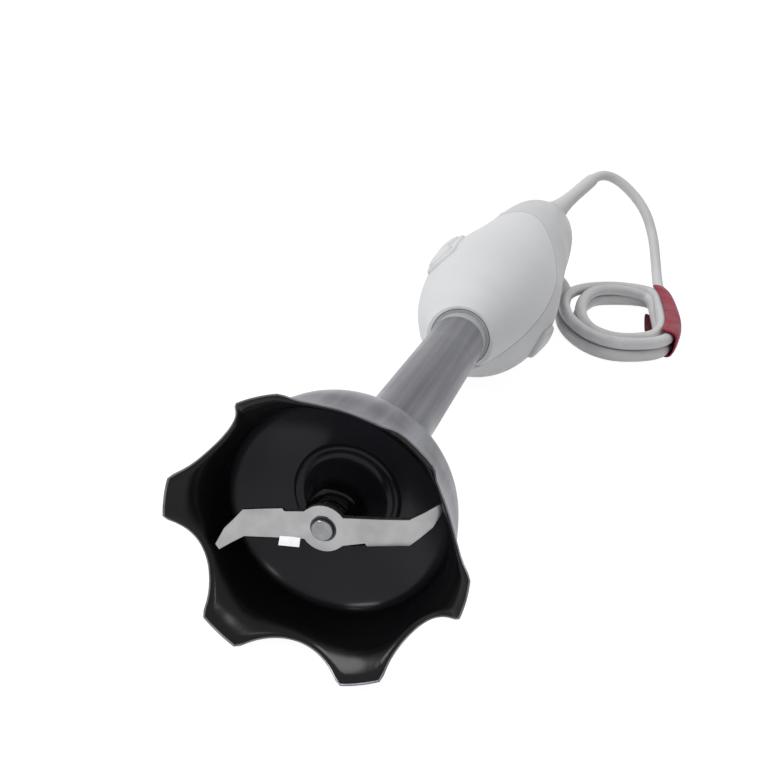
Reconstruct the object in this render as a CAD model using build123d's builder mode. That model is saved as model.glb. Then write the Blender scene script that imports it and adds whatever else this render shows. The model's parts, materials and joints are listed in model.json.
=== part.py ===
"""Immersion blender lying on its side: a detachable steel stem with a six-lobed blade guard,
a two-shell motor unit with its drive, switches and release buttons, and a mains cord tied in a hank.

+Y runs along the blender from the blade guard to the cord end, +X is to the right of the guard's
face, +Z is up and Z = 0 is the surface it lies on.  Lengths along the blender are given as the
distance s from the plane of the guard's lobe tips.
"""
import os
from math import cos, pi, radians, sin, tan

from build123d import *

# ---------------------------------------------------------------- overall
BLENDER_LENGTH = 400.0       # lobe tips to the end of the handle
FIT_GAP = 0.1                # radial gap of pieces seated in one body
MOVING_GAP = 0.3             # gap between pieces of different bodies
SHAFT_GAP = 0.05             # radial running clearance of a shaft in its bush

# ---------------------------------------------------------------- blade guard
RIM_RADIUS = 34.5            # lobe tips
LOBES = 6
LOBE_HALF_ANGLE = 8.5        # half of one lobe's tip, in degrees
SCALLOP_DEPTH = 6.7
SHELL_WALL = 0.7             # drawn steel
LINER_WALL = 0.8             # black moulded liner
RIM_LIP = 0.4                # the steel edge stands this far past the liner
SKIRT_RADIUS = 28.4          # outside, where the flare ends
CREASE_S = 18.0              # end of the skirt, start of the dome
DOME_TOP_S = 54.0            # the dome has closed onto the tube
BOWL_END_S = 27.0            # deepest point of the liner's bowl
BOWL_WALL = 1.8
BOSS_RADIUS = 12.0           # raised ring round the shaft
BOSS_FACE_S = 23.0
BOSS_LIP = 1.5
BOSS_FLOOR_S = 24.2
HUB_BOSS_RADIUS = 6.6
HUB_BOSS_FACE_S = 13.0
HUB_CONE_S = 16.0            # where the hub's boss starts to widen
HUB_CONE_RADIUS = 9.2

# ---------------------------------------------------------------- stem
TUBE_RADIUS = 9.7
TUBE_WALL = 0.8
TUBE_END_S = 151.0
COLLAR_END_S = 156.5
SPIGOT_RADIUS = 8.6
SPIGOT_END_S = 178.0
SPIGOT_BORE = 7.4
BUSH_LENGTH = 12.0
BUSH_WALL = 2.0
SHAFT_RADIUS = 2.5
GROOVE_S = 168.0             # latch groove in the spigot
GROOVE_WIDTH = 3.0
GROOVE_DEPTH = 0.8
O_RING_SECTION = 0.9
O_RING_S = 161.0

# ---------------------------------------------------------------- blade
BLADE_S = 9.1                # middle of the blade's thickness
BLADE_THICKNESS = 1.5
BLADE_HUB_RADIUS = 5.6
BLADE_TIP_BEND = 24.0        # degrees, one tip forward and one back
BLADE_TIP_LENGTH = 7.0
RIVET_RADIUS = 2.5
RIVET_HEIGHT = 1.2

# ---------------------------------------------------------------- motor unit
BODY_RADIUS = 28.6           # widest, where the housing rests on the surface
BODY_START_S = 157.0
NOSE_RADIUS = 12.4
BODY_WALL = 2.4
SEAM_ROLL = 15.0             # the seam plane is rolled about the axis, in degrees
SEAM_SLOPE = 0.2             # rise of the seam along the axis
SEAM_START_S = 193.0         # where the seam plane crosses the axis
SEAM_GAP = 0.3
SOCKET_WALL = 1.8
SOCKET_END_S = 182.0
CLIP_WALL = 0.7              # spring ring of the latch
RIB_WIDTH = 2.0
SOCKET_RIB_S = BODY_START_S + 6.0
SCREW_S = 268.0
SCREW_ACROSS = 16.0          # from the middle of the housing, along the seam
SCREW_BOSS_RADIUS = 4.2
SCREW_RADIUS = 1.4
SCREW_HEAD_RADIUS = 2.8
SCREW_HEAD_HEIGHT = 2.0
SCREW_SEAT = -9.0            # the head's seat, from the seam
SCREW_TIP = 3.0

# ---------------------------------------------------------------- motor
MOTOR_RADIUS = 17.0
MOTOR_RING = 3.2             # thickness of the stator's outer ring
AIR_GAP = 0.5
ROTOR_RADIUS = 10.0
ROTOR_SLOTS = 12
STATOR_START_S = 214.0
STATOR_END_S = 257.0
COIL_OVERHANG = 4.0          # how far the windings stand out of the laminations
BEARING_RADIUS = 6.5
BEARING_WIDTH = 5.0
BRACKET_WIDTH = 6.0
FRONT_BRACKET_S = 202.0
REAR_BRACKET_S = 280.0
FAN_S = 194.0
FAN_LENGTH = 6.0
FAN_RADIUS = 16.0
FAN_HUB_RADIUS = 5.0
FAN_BLADES = 9
COUPLING_RADIUS = 6.4
DOG_COUNT = 3
DOG_ANGLE = 50.0
DOG_LENGTH = 4.0
DRIVEN_START_S = 170.0
DRIVEN_HUB_LENGTH = 6.0
COMMUTATOR_RADIUS = 6.5
COMMUTATOR_START_S = 264.0
COMMUTATOR_END_S = 277.0
BRUSH_WIDTH = 5.0
BRUSH_LENGTH = 7.0
BRUSH_HOLDER_WALL = 0.8
BRUSH_HOLDER_END = 18.0      # radius of the holder's outer end
BRUSH_ANGLES = (90, 270)
BRUSH_ARM_THICKNESS = 2.5
SPRING_TURNS = 5
ROTOR_SLOT_WIDTH = 2.4
ROTOR_SLOT_FLOOR = 5.6       # radius
COIL_HALF_ANGLE = 32.0       # half of each gap between the stator's poles, in degrees
AIR_HOLE_RADIUS = 3.0
AIR_HOLE_CIRCLE = 12.0

# ---------------------------------------------------------------- switches
BUTTON_ANGLE = 146.0         # round the housing from +X towards +Z
BUTTON_LENGTH = 15.0
BUTTON_WIDTH = 12.0
BUTTON_PROUD = 2.6
BUTTON_TRAVEL = 1.5
POWER_BUTTON_S = 213.5
TURBO_BUTTON_S = 232.5
BEZEL_PROUD = 1.4
BEZEL_MARGIN = 2.0
FLANGE_MARGIN = 1.5
FLANGE_THICKNESS = 1.0
SWITCH_HEIGHT = 1.8
SWITCH_SIZE = 6.0
SWITCH_BOARD_LENGTH = 32.0
SWITCH_BOARD_WIDTH = 22.0
BOARD_THICKNESS = 1.0
ACTUATOR_RADIUS = 2.0
POST_RADIUS = 1.6            # posts that the switch board is screwed to
POST_INSET = 4.0

# ---------------------------------------------------------------- electronics
CONTROL_BOARD_LOW = 8.0      # under face of the control board, below the housing's axis
CONTROL_BOARD_THICKNESS = 1.6
CONTROL_BOARD_WIDTH = 34.0
RAIL_HEIGHT = 3.0
RAIL_START_S = 308.0
RAIL_END_S = 354.0
RAIL_LEDGE = 2.0             # how far each rail reaches under the board
CAPACITOR_PLACE = (RAIL_START_S + 14, 3)     # s and X on the board
CAPACITOR_SIZE = (18, 9, 15)                 # along, across, height
TRIAC_PLACE = (RAIL_START_S + 12, -9)
TRIAC_SIZE = (11, 10, 4.5)
TERMINAL_PLACE = (RAIL_END_S - 6, -6)
TERMINAL_SIZE = (9, 15, 9)

# ---------------------------------------------------------------- release buttons
RELEASE_ANGLES = (-15.0, 225.0)
RELEASE_S = 212.0
RELEASE_LENGTH = 24.0
RELEASE_WIDTH = 13.0
RELEASE_PROUD = 2.0
RELEASE_ROOM_RADIUS = 18.8   # nothing else lies further out behind a release button

# ---------------------------------------------------------------- cord
CORD_RADIUS = 3.0
BOOT_BASE = Vector(6.0, 397.0, 41.5)         # on the end of the handle: X, s, Z
BOOT_DIRECTION = Vector(0.345, 0.833, 0.434)
BOOT_LENGTH = 42.0
BOOT_BASE_RADIUS = 8.5
BOOT_RADIUS = 4.6
BOOT_TIP_RADIUS = 3.8
BOOT_ROOT = 12.0             # how far it reaches inside the housing
BOOT_FOOT = 4.0              # how far the flare runs back before the housing trims it
HANK_HEIGHT = 12.6
TIE_WALL = 1.0
TIE_START_X = 77.0
PLUG_WIDTH = 34.0
PLUG_HEIGHT = 14.0
PLUG_LENGTH = 34.0
PIN_RADIUS = 2.0
PIN_LENGTH = 19.0
PIN_SPACING = 19.0

# ---------------------------------------------------------------- derived places
RIM_Y = -BLENDER_LENGTH / 2
STEM_Z = RIM_RADIUS * cos(radians(180 / LOBES - LOBE_HALF_ANGLE))
BODY_Z = BODY_RADIUS
AXIS_DROP = STEM_Z - BODY_Z  # the housing's axis lies this far under the shaft line
SOCKET_BORE = SPIGOT_RADIUS + MOVING_GAP
SOCKET_RADIUS = SOCKET_BORE + SOCKET_WALL
BORE_RADIUS = SHAFT_RADIUS + SHAFT_GAP
BUTTON_PLACES = (POWER_BUTTON_S, TURBO_BUTTON_S)
BEZEL_S = (POWER_BUTTON_S + TURBO_BUTTON_S) / 2
BEZEL_LENGTH = TURBO_BUTTON_S - POWER_BUTTON_S + BUTTON_LENGTH + 2 * BEZEL_MARGIN
BEZEL_WIDTH = BUTTON_WIDTH + 2 * BEZEL_MARGIN
DEEP = BODY_RADIUS / 2       # a radius inside every wall
FAR_OUT = BODY_RADIUS + 8    # a radius outside every wall
SWITCH_BOARD_RADIUS = MOTOR_RADIUS + AXIS_DROP - 1.0    # under face, from the housing's axis
SWITCH_FACE_RADIUS = SWITCH_BOARD_RADIUS + BOARD_THICKNESS
SWITCH_TOP_RADIUS = SWITCH_FACE_RADIUS + SWITCH_HEIGHT
POST_ALONG = SWITCH_BOARD_LENGTH / 2 - POST_INSET
POST_ACROSS = BUTTON_WIDTH / 2 + FLANGE_MARGIN + MOVING_GAP + POST_RADIUS
CONTROL_BOARD_Z = BODY_Z - CONTROL_BOARD_LOW
BOARD_TOP_Z = CONTROL_BOARD_Z + CONTROL_BOARD_THICKNESS
BOOT_ROOT_RADIUS = CORD_RADIUS + 1.4
BOOT_SIDE = BOOT_DIRECTION.cross(Vector(0, 0, 1))

os.makedirs("parts", exist_ok=True)


def save(part, label):
    """Name a finished piece and write it as parts/label.step."""
    part.label = label
    export_step(part, f"parts/{label}.step")


def lengthwise(height):
    """Sketch plane holding the line at this height: local x is s, local y the radius."""
    return Plane(origin=(0, RIM_Y, height), x_dir=(0, 1, 0), z_dir=(1, 0, 0))


def across(s, height=STEM_Z):
    """Sketch plane square to the shaft line at s: local x is X, local y is Z, it faces the guard."""
    return Plane(origin=(0, RIM_Y + s, height), x_dir=(1, 0, 0), z_dir=(0, -1, 0))


def radial(angle, s, height, radius):
    """Sketch plane at a radius, facing outwards: local x is along +Y, local y is round the body."""
    out = Vector(cos(radians(angle)), 0, sin(radians(angle)))
    return Plane(origin=Vector(0, RIM_Y + s, height) + out * radius, x_dir=(0, 1, 0), z_dir=out)


def turn(points, height=STEM_Z, mode=Mode.ADD):
    """Turn a closed outline of (s, radius) corners about the line at this height."""
    with BuildSketch(lengthwise(height)) as outline:
        with BuildLine():
            Polyline(*points, close=True)
        make_face()
    revolve(outline.sketch, axis=Axis((0, RIM_Y, height), (0, 1, 0)), mode=mode)


def tube(start, end, outer, inner=0.0, mode=Mode.ADD, height=STEM_Z):
    """A sleeve or a solid rod from s = start to s = end."""
    turn([(start, inner), (end, inner), (end, outer), (start, outer)], height, mode)


# ---------------------------------------------------------------- blade guard
def guard_core(inset, start=0.0, end=DOME_TOP_S):
    """The guard's outer form, shrunk by inset, between s = start and s = end."""
    neck = TUBE_RADIUS + SHELL_WALL + FIT_GAP
    section = [
        (0, RIM_RADIUS - inset),
        (3.4, RIM_RADIUS - 2.9 - inset),
        (7.5, SKIRT_RADIUS + 1.3 - inset),
        (12.5, SKIRT_RADIUS + 0.3 - inset),
        (CREASE_S, SKIRT_RADIUS - 0.3 - inset),
        (24.5 - 0.1 * inset, SKIRT_RADIUS - 1.7 - inset),
        (30.5 - 0.3 * inset, SKIRT_RADIUS - 4.5 - inset),
        (35.5 - 0.6 * inset, SKIRT_RADIUS - 8.2 - inset),
        (39.5 - 0.6 * inset, SKIRT_RADIUS - 12.2 - inset),
        (43.5 - 0.4 * inset, neck + 2.9 - inset),
        (48.0, neck + 0.8 - inset),
        (DOME_TOP_S, neck - inset),
    ]
    with BuildPart() as core:
        with BuildSketch(lengthwise(STEM_Z)) as half:
            with BuildLine():
                Spline(*section)
                Polyline(section[-1], (DOME_TOP_S, 0), (0, 0), section[0])
            make_face()
        revolve(half.sketch, axis=Axis((0, RIM_Y, STEM_Z), (0, 1, 0)))
        tube(start, end, 2 * RIM_RADIUS, mode=Mode.INTERSECT)
    return core.part


def cut_scallops():
    """Cut the round notches that leave the lobes."""
    half_width = RIM_RADIUS * sin(radians(180 / LOBES - LOBE_HALF_ANGLE))
    for lobe in range(LOBES):
        notch_angle = 360 / LOBES * (lobe + 0.5)
        with BuildSketch(radial(notch_angle, 0, STEM_Z, 0)) as notch:
            with BuildLine():
                ThreePointArc((0, half_width), (SCALLOP_DEPTH, 0), (0, -half_width))
                Polyline((0, -half_width), (-1, -half_width), (-1, half_width), (0, half_width))
            make_face()
        extrude(notch.sketch, amount=RIM_RADIUS + 1, mode=Mode.SUBTRACT)


with BuildPart() as bell_shell:
    add(guard_core(0))
    add(guard_core(SHELL_WALL), mode=Mode.SUBTRACT)
    cut_scallops()
save(bell_shell.part, "bell_shell")

LINER_INSET = SHELL_WALL + LINER_WALL
BOWL_RADIUS = SKIRT_RADIUS - 0.3 - LINER_INSET
BOWL_DEPTH = BOWL_END_S - CREASE_S
BOWL_CURVE = (BOWL_RADIUS ** 2 + BOWL_DEPTH ** 2) / (2 * BOWL_DEPTH)     # radius of its sphere


def bowl_corner(radius, set_back=0.0):
    """Point of the bowl's face at this radius, set back along the shaft line."""
    return BOWL_END_S + set_back - BOWL_CURVE + (BOWL_CURVE ** 2 - radius ** 2) ** 0.5, radius


with BuildPart() as bell_liner:
    # the skirt follows the steel, then a shallow bowl closes it
    add(guard_core(SHELL_WALL, RIM_LIP, CREASE_S + BOWL_WALL))
    add(guard_core(LINER_INSET, 0, CREASE_S + BOWL_WALL + 1), mode=Mode.SUBTRACT)
    with BuildSketch(lengthwise(STEM_Z)) as bowl:
        with BuildLine():
            ThreePointArc(*[bowl_corner(BOWL_RADIUS * share) for share in (1, 0.5, 0)])
            Line(bowl_corner(0), bowl_corner(0, BOWL_WALL))
            ThreePointArc(*[bowl_corner(BOWL_RADIUS * share, BOWL_WALL) for share in (0, 0.5, 1)])
            Line(bowl_corner(BOWL_RADIUS, BOWL_WALL), bowl_corner(BOWL_RADIUS))
        make_face()
    revolve(bowl.sketch, axis=Axis((0, RIM_Y, STEM_Z), (0, 1, 0)))
    # raised ring round the shaft's boss, and the boss itself with its bush and seal seats
    tube(BOSS_FACE_S, BOWL_END_S, BOSS_RADIUS, BOSS_RADIUS - BOSS_LIP)
    tube(BOSS_FLOOR_S, BOWL_END_S, BOSS_RADIUS)
    turn([(HUB_CONE_S, 0), (HUB_CONE_S, HUB_BOSS_RADIUS), (BOSS_FLOOR_S, HUB_CONE_RADIUS),
          (BOSS_FLOOR_S, 0)])
    tube(HUB_BOSS_FACE_S, BOWL_END_S + BUSH_LENGTH, HUB_BOSS_RADIUS)
    tube(HUB_BOSS_FACE_S - 1, BOWL_END_S + BUSH_LENGTH + 1, SHAFT_RADIUS + BUSH_WALL + FIT_GAP,
         mode=Mode.SUBTRACT)
    cut_scallops()
save(bell_liner.part, "bell_liner")

SEAL_START_S = HUB_BOSS_FACE_S + 1.6
SEAL_END_S = SEAL_START_S + 4.0
LOWER_BUSH_END_S = SEAL_END_S + 0.6 + BUSH_LENGTH
BUSH_RADIUS = SHAFT_RADIUS + BUSH_WALL
with BuildPart() as shaft_seal:
    turn([
        (SEAL_START_S, SHAFT_RADIUS + SHAFT_GAP), (SEAL_START_S + 1, SHAFT_RADIUS + SHAFT_GAP),
        (SEAL_START_S + 1.6, SHAFT_RADIUS + 1.1), (SEAL_END_S, SHAFT_RADIUS + 1.1),
        (SEAL_END_S, BUSH_RADIUS), (SEAL_START_S, BUSH_RADIUS),
    ])
save(shaft_seal.part, "shaft_seal")

with BuildPart() as seal_retainer:
    tube(HUB_BOSS_FACE_S + 0.4, SEAL_START_S, BUSH_RADIUS, SHAFT_RADIUS + 0.6)
save(seal_retainer.part, "seal_retainer")

with BuildPart() as lower_bush:
    tube(SEAL_END_S, LOWER_BUSH_END_S, BUSH_RADIUS, BORE_RADIUS)
save(lower_bush.part, "lower_bush")

# ---------------------------------------------------------------- stem
TUBE_START_S = DOME_TOP_S - 8.0
TUBE_BORE = TUBE_RADIUS - TUBE_WALL
with BuildPart() as stem_tube:
    tube(TUBE_START_S, TUBE_END_S, TUBE_RADIUS, TUBE_BORE)
save(stem_tube.part, "stem_tube")

UPPER_BUSH_START_S = TUBE_END_S - BUSH_LENGTH - 2
UPPER_BUSH_END_S = UPPER_BUSH_START_S + BUSH_LENGTH
with BuildPart() as stem_collar:
    # plug inside the tube's end, shoulder, then the spigot that enters the motor unit
    turn([
        (UPPER_BUSH_START_S - 1, BUSH_RADIUS + FIT_GAP), (UPPER_BUSH_END_S + 1, BUSH_RADIUS + FIT_GAP),
        (UPPER_BUSH_END_S + 1, SHAFT_RADIUS + 1), (DRIVEN_START_S - 4, SHAFT_RADIUS + 1),
        (DRIVEN_START_S - 4, SPIGOT_BORE), (SPIGOT_END_S, SPIGOT_BORE),
        (SPIGOT_END_S, SPIGOT_RADIUS), (COLLAR_END_S, SPIGOT_RADIUS),
        (COLLAR_END_S, TUBE_RADIUS), (TUBE_END_S, TUBE_RADIUS),
        (TUBE_END_S, TUBE_BORE - FIT_GAP), (UPPER_BUSH_START_S - 1, TUBE_BORE - FIT_GAP),
    ])
    for start, width, depth in (
        (GROOVE_S, GROOVE_WIDTH, GROOVE_DEPTH),
        (O_RING_S, 2 * O_RING_SECTION, O_RING_SECTION),
    ):
        tube(start, start + width, SPIGOT_RADIUS + 1, SPIGOT_RADIUS - depth, Mode.SUBTRACT)
save(stem_collar.part, "stem_collar")

with BuildPart() as collar_o_ring:
    tube(O_RING_S, O_RING_S + 2 * O_RING_SECTION, SPIGOT_RADIUS + 0.15, SPIGOT_RADIUS - O_RING_SECTION)
    fillet(collar_o_ring.edges(), 0.3)
save(collar_o_ring.part, "collar_o_ring")

with BuildPart() as upper_bush:
    tube(UPPER_BUSH_START_S, UPPER_BUSH_END_S, BUSH_RADIUS, BORE_RADIUS)
save(upper_bush.part, "upper_bush")

# ---------------------------------------------------------------- blade and its shaft
BLADE_FRONT_S = BLADE_S - BLADE_THICKNESS / 2
BLADE_BACK_S = BLADE_S + BLADE_THICKNESS / 2
SPACER_END_S = HUB_BOSS_FACE_S - MOVING_GAP
TENON_RADIUS = SHAFT_RADIUS - 0.8

with BuildPart() as blade_shaft:
    turn([
        (BLADE_FRONT_S, 0), (DRIVEN_START_S + 6, 0), (DRIVEN_START_S + 6, SHAFT_RADIUS),
        (BLADE_BACK_S, SHAFT_RADIUS), (BLADE_BACK_S, TENON_RADIUS), (BLADE_FRONT_S, TENON_RADIUS),
    ])
save(blade_shaft.part, "blade_shaft")

with BuildPart() as shaft_washer:
    tube(DRIVEN_START_S - 4 + MOVING_GAP, DRIVEN_START_S, BUSH_RADIUS + 1, SHAFT_RADIUS)
save(shaft_washer.part, "shaft_washer")

with BuildPart() as blade_spacer:
    tube(BLADE_BACK_S, SPACER_END_S, SHAFT_RADIUS + 2, SHAFT_RADIUS)
save(blade_spacer.part, "blade_spacer")

with BuildPart() as blade_rivet:
    tube(BLADE_FRONT_S - RIVET_HEIGHT, BLADE_FRONT_S, RIVET_RADIUS)
    fillet(blade_rivet.faces().sort_by(Axis.Y)[0].edges(), RIVET_HEIGHT / 3)
save(blade_rivet.part, "blade_rivet")

# one arm in the plane of the blade, X across and Z up from the hub
ARM_ROOT_UPPER = (3.8, 4.1)
ARM_BEND_UPPER = (17.6, 8.5)
ARM_BEND_LOWER = (20.2, 4.9)
ARM_HEEL = (19.2, 2.4)
ARM_ROOT_LOWER = (5.1, -2.6)
TIP_POINT_WIDTH = 1.6


def blade_arm(turned, bend):
    """One arm with its tip bent out of the plane, turned about the hub by this angle."""
    with BuildSketch(across(BLADE_FRONT_S)) as flat:
        with BuildLine():
            Polyline(ARM_ROOT_UPPER, ARM_BEND_UPPER, ARM_BEND_LOWER, ARM_HEEL, ARM_ROOT_LOWER,
                     (0, 0), close=True)
        make_face()
    upper, lower = Vector(*ARM_BEND_UPPER), Vector(*ARM_BEND_LOWER)
    fold_plane = Plane(
        origin=across(BLADE_FRONT_S).from_local_coords((lower.X, lower.Y, 0)),
        x_dir=across(BLADE_FRONT_S).from_local_coords((upper.X, upper.Y, 0))
        - across(BLADE_FRONT_S).from_local_coords((lower.X, lower.Y, 0)),
        z_dir=(0, -1, 0),
    ).rotated((bend, 0, 0))
    width = (upper - lower).length
    with BuildSketch(fold_plane) as tip:
        with BuildLine():
            Polyline((0, 0.6), (width, 0.6), (width + 1.2, -BLADE_TIP_LENGTH),
                     (width + 1.2 - TIP_POINT_WIDTH, -BLADE_TIP_LENGTH), (0.2, -2.2), close=True)
        make_face()
    arm = extrude(flat.sketch, amount=-BLADE_THICKNESS, mode=Mode.PRIVATE)
    arm += extrude(tip.sketch, amount=-BLADE_THICKNESS, mode=Mode.PRIVATE)
    add(arm.rotate(Axis((0, 0, STEM_Z), (0, -1, 0)), turned))


with BuildPart() as blade:
    tube(BLADE_FRONT_S, BLADE_BACK_S, BLADE_HUB_RADIUS)
    blade_arm(0, BLADE_TIP_BEND)
    blade_arm(180, -BLADE_TIP_BEND)
    tube(BLADE_FRONT_S - 1, BLADE_BACK_S + 1, TENON_RADIUS, 0, Mode.SUBTRACT)
save(blade.part, "blade")

# ---------------------------------------------------------------- coupling
DRIVEN_FACE_S = DRIVEN_START_S + DRIVEN_HUB_LENGTH
DRIVE_FACE_S = DRIVEN_FACE_S + DOG_LENGTH + 2 * MOVING_GAP
DOG_INNER_RADIUS = SHAFT_RADIUS + 1.1


def dogs(start, end, first_angle):
    """Three driving teeth, each a sector of a ring."""
    for dog in range(DOG_COUNT):
        centre = first_angle + 360 / DOG_COUNT * dog
        edges = [radians(centre + side * DOG_ANGLE / 2) for side in (-1, 1)]
        inner = [(DOG_INNER_RADIUS * cos(edge), DOG_INNER_RADIUS * sin(edge)) for edge in edges]
        outer = [(COUPLING_RADIUS * cos(edge), COUPLING_RADIUS * sin(edge)) for edge in edges]
        crown = COUPLING_RADIUS * cos(radians(centre)), COUPLING_RADIUS * sin(radians(centre))
        with BuildSketch(across(start)) as tooth:
            with BuildLine():
                Polyline(outer[0], inner[0], inner[1], outer[1])
                ThreePointArc(outer[0], crown, outer[1])
            make_face()
        extrude(tooth.sketch, amount=start - end)


with BuildPart() as driven_coupling:
    tube(DRIVEN_START_S, DRIVEN_FACE_S, COUPLING_RADIUS, SHAFT_RADIUS)
    dogs(DRIVEN_FACE_S, DRIVEN_FACE_S + DOG_LENGTH, 0)
save(driven_coupling.part, "driven_coupling")

with BuildPart() as drive_coupling:
    tube(DRIVE_FACE_S, DRIVE_FACE_S + DRIVEN_HUB_LENGTH, COUPLING_RADIUS, SHAFT_RADIUS)
    tube(DRIVE_FACE_S, DRIVE_FACE_S + 1, SHAFT_RADIUS)
    dogs(DRIVE_FACE_S - DOG_LENGTH, DRIVE_FACE_S, 180 / DOG_COUNT)
save(drive_coupling.part, "drive_coupling")

# ---------------------------------------------------------------- housing
# s, radius and how far the circle's centre lies under the shaft line
HOUSING_SECTIONS = [
    (BODY_START_S, NOSE_RADIUS, 0.15 * AXIS_DROP),
    (BODY_START_S + 8, NOSE_RADIUS + 2.6, 0.45 * AXIS_DROP),
    (BODY_START_S + 23, BODY_RADIUS - 8.3, 0.75 * AXIS_DROP),
    (BODY_START_S + 43, BODY_RADIUS - 3.0, 0.95 * AXIS_DROP),
    (BODY_START_S + 68, BODY_RADIUS, AXIS_DROP),
    (BODY_START_S + 93, BODY_RADIUS - 0.7, AXIS_DROP),
    (BODY_START_S + 123, BODY_RADIUS - 2.6, AXIS_DROP),
    (BODY_START_S + 158, BODY_RADIUS - 4.3, AXIS_DROP),
    (BLENDER_LENGTH - 50, BODY_RADIUS - 5.6, AXIS_DROP),
    (BLENDER_LENGTH - 20, BODY_RADIUS - 7.8, AXIS_DROP),
    (BLENDER_LENGTH - 10, BODY_RADIUS - 10.8, AXIS_DROP),
    (BLENDER_LENGTH - 4, BODY_RADIUS - 14.8, AXIS_DROP),
    (BLENDER_LENGTH, BODY_RADIUS - 21.1, AXIS_DROP),
]


def housing_solid(inset):
    """The motor unit's outer form, shrunk by inset."""
    sections = list(HOUSING_SECTIONS)
    first, last = sections[0], sections[-1]
    sections[0] = (first[0] + inset, first[1], first[2])
    sections[-1] = (last[0] - inset, last[1], last[2])
    with BuildPart() as form:
        for s, radius, drop in sections:
            with BuildSketch(across(s, STEM_Z - drop)):
                Circle(radius - inset)
        loft()
    return form.part


def housing_axis_z(s):
    """Height of the housing's centre at s, from the sections on either side."""
    for (near_s, _, near_drop), (far_s, _, far_drop) in zip(HOUSING_SECTIONS, HOUSING_SECTIONS[1:]):
        if near_s <= s <= far_s:
            return STEM_Z - near_drop - (s - near_s) / (far_s - near_s) * (far_drop - near_drop)
    raise ValueError(f"s = {s} is off the housing")


HOUSING = housing_solid(0)
HOUSING_CAVITY = housing_solid(BODY_WALL)
HOUSING_SEAT = housing_solid(BODY_WALL + FIT_GAP)
HOUSING_SHELL = HOUSING - HOUSING_CAVITY


def housing_slice(start, end):
    """A disc that fills the housing's cavity from s = start to s = end."""
    with BuildPart() as disc:
        add(HOUSING_SEAT)
        tube(start, end, 2 * BODY_RADIUS, mode=Mode.INTERSECT)
    return disc.part


def slot_prism(angle, s, length, width, low, high):
    """A round-ended bar standing on a radial plane, from radius low to radius high."""
    with BuildPart() as bar:
        with BuildSketch(radial(angle, s, housing_axis_z(s), low)):
            SlotOverall(length, width)
        extrude(amount=high - low)
    return bar.part


def seam_side(keep_front):
    """A block on one side of the seam, set back by half the seam's gap."""
    tilt = Vector(cos(radians(90 + SEAM_ROLL)), 0, sin(radians(90 + SEAM_ROLL)))
    seam = Plane(
        origin=(0, RIM_Y + SEAM_START_S, BODY_Z),
        x_dir=Vector(0, 1, 0) + tilt * SEAM_SLOPE,
        z_dir=tilt - Vector(0, 1, 0) * SEAM_SLOPE,
    )
    side = 1 if keep_front else -1
    with BuildPart() as block:
        with BuildSketch(seam.offset(side * SEAM_GAP / 2)):
            Rectangle(3 * BLENDER_LENGTH, 8 * BODY_RADIUS)
        extrude(amount=side * 8 * BODY_RADIUS)
    return block.part


def release_room(angle):
    """The space behind a release button that it needs for its flange and travel."""
    return slot_prism(angle, RELEASE_S, RELEASE_LENGTH + 2 * (FLANGE_MARGIN + MOVING_GAP),
                      RELEASE_WIDTH + 2 * (FLANGE_MARGIN + MOVING_GAP), RELEASE_ROOM_RADIUS, FAR_OUT)


def board_plane(radius):
    """Plane across the button line, over the middle of the switch board."""
    return radial(BUTTON_ANGLE, BEZEL_S, BODY_Z, radius)


def switch_room():
    """The space of the switch board and of the buttons' flanges."""
    with BuildPart() as room:
        with BuildSketch(board_plane(SWITCH_BOARD_RADIUS - FIT_GAP)):
            Rectangle(BEZEL_LENGTH, SWITCH_BOARD_WIDTH + 2 * MOVING_GAP)
        extrude(amount=BODY_RADIUS)
    return room.part


def boot_point(distance):
    """A point on the boot's line, measured outwards from its base."""
    return Vector(0, RIM_Y, 0) + BOOT_BASE + BOOT_DIRECTION.normalized() * distance


def boot_cylinder(start, end, radius):
    """A round bar on the boot's line."""
    with BuildPart() as bar:
        with BuildSketch(Plane(origin=boot_point(start), z_dir=BOOT_DIRECTION)):
            Circle(radius)
        extrude(amount=end - start)
    return bar.part


def stator_ribs():
    """Two ribs of the housing that carry the stator."""
    with BuildPart() as ribs:
        add(HOUSING)
        for start, end in (
            (0, STATOR_START_S + 6), (STATOR_START_S + 9, STATOR_END_S - 9),
            (STATOR_END_S - 6, BLENDER_LENGTH + 1),
        ):
            tube(start, end, 3 * BODY_RADIUS, mode=Mode.SUBTRACT)
        tube(STATOR_START_S, STATOR_END_S, MOTOR_RADIUS + FIT_GAP, mode=Mode.SUBTRACT)
    return ribs.part


def board_rails():
    """Two rails inside the rear shell, under the edges of the control board."""
    with BuildPart() as rails:
        with BuildSketch(across(RAIL_START_S, CONTROL_BOARD_Z - RAIL_HEIGHT / 2)) as ends:
            with GridLocations(2 * BODY_RADIUS + CONTROL_BOARD_WIDTH - 2 * RAIL_LEDGE, 0, 2, 1):
                Rectangle(2 * BODY_RADIUS, RAIL_HEIGHT)
        extrude(ends.sketch, amount=RAIL_START_S - RAIL_END_S)
        add(HOUSING, mode=Mode.INTERSECT)
    return rails.part


def seam_plane(side, s, above=0.0):
    """Plane square to the screws' line at s: its origin is above the seam, side across."""
    up = Vector(cos(radians(90 + SEAM_ROLL)), 0, sin(radians(90 + SEAM_ROLL)))
    outwards = Vector(cos(radians(SEAM_ROLL)), 0, sin(radians(SEAM_ROLL)))
    height = SEAM_SLOPE * (s - SEAM_START_S) + above
    return Plane(
        origin=Vector(0, RIM_Y + s, BODY_Z) + outwards * side * SCREW_ACROSS + up * height,
        x_dir=(0, 1, 0),
        z_dir=up,
    )


def screw_bar(side, low, high, radius):
    """A round bar on a housing screw's line, from low to high above the seam."""
    with BuildPart() as bar:
        with BuildSketch(seam_plane(side, SCREW_S, low)):
            Circle(radius)
        extrude(amount=high - low)
    return bar.part


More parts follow.
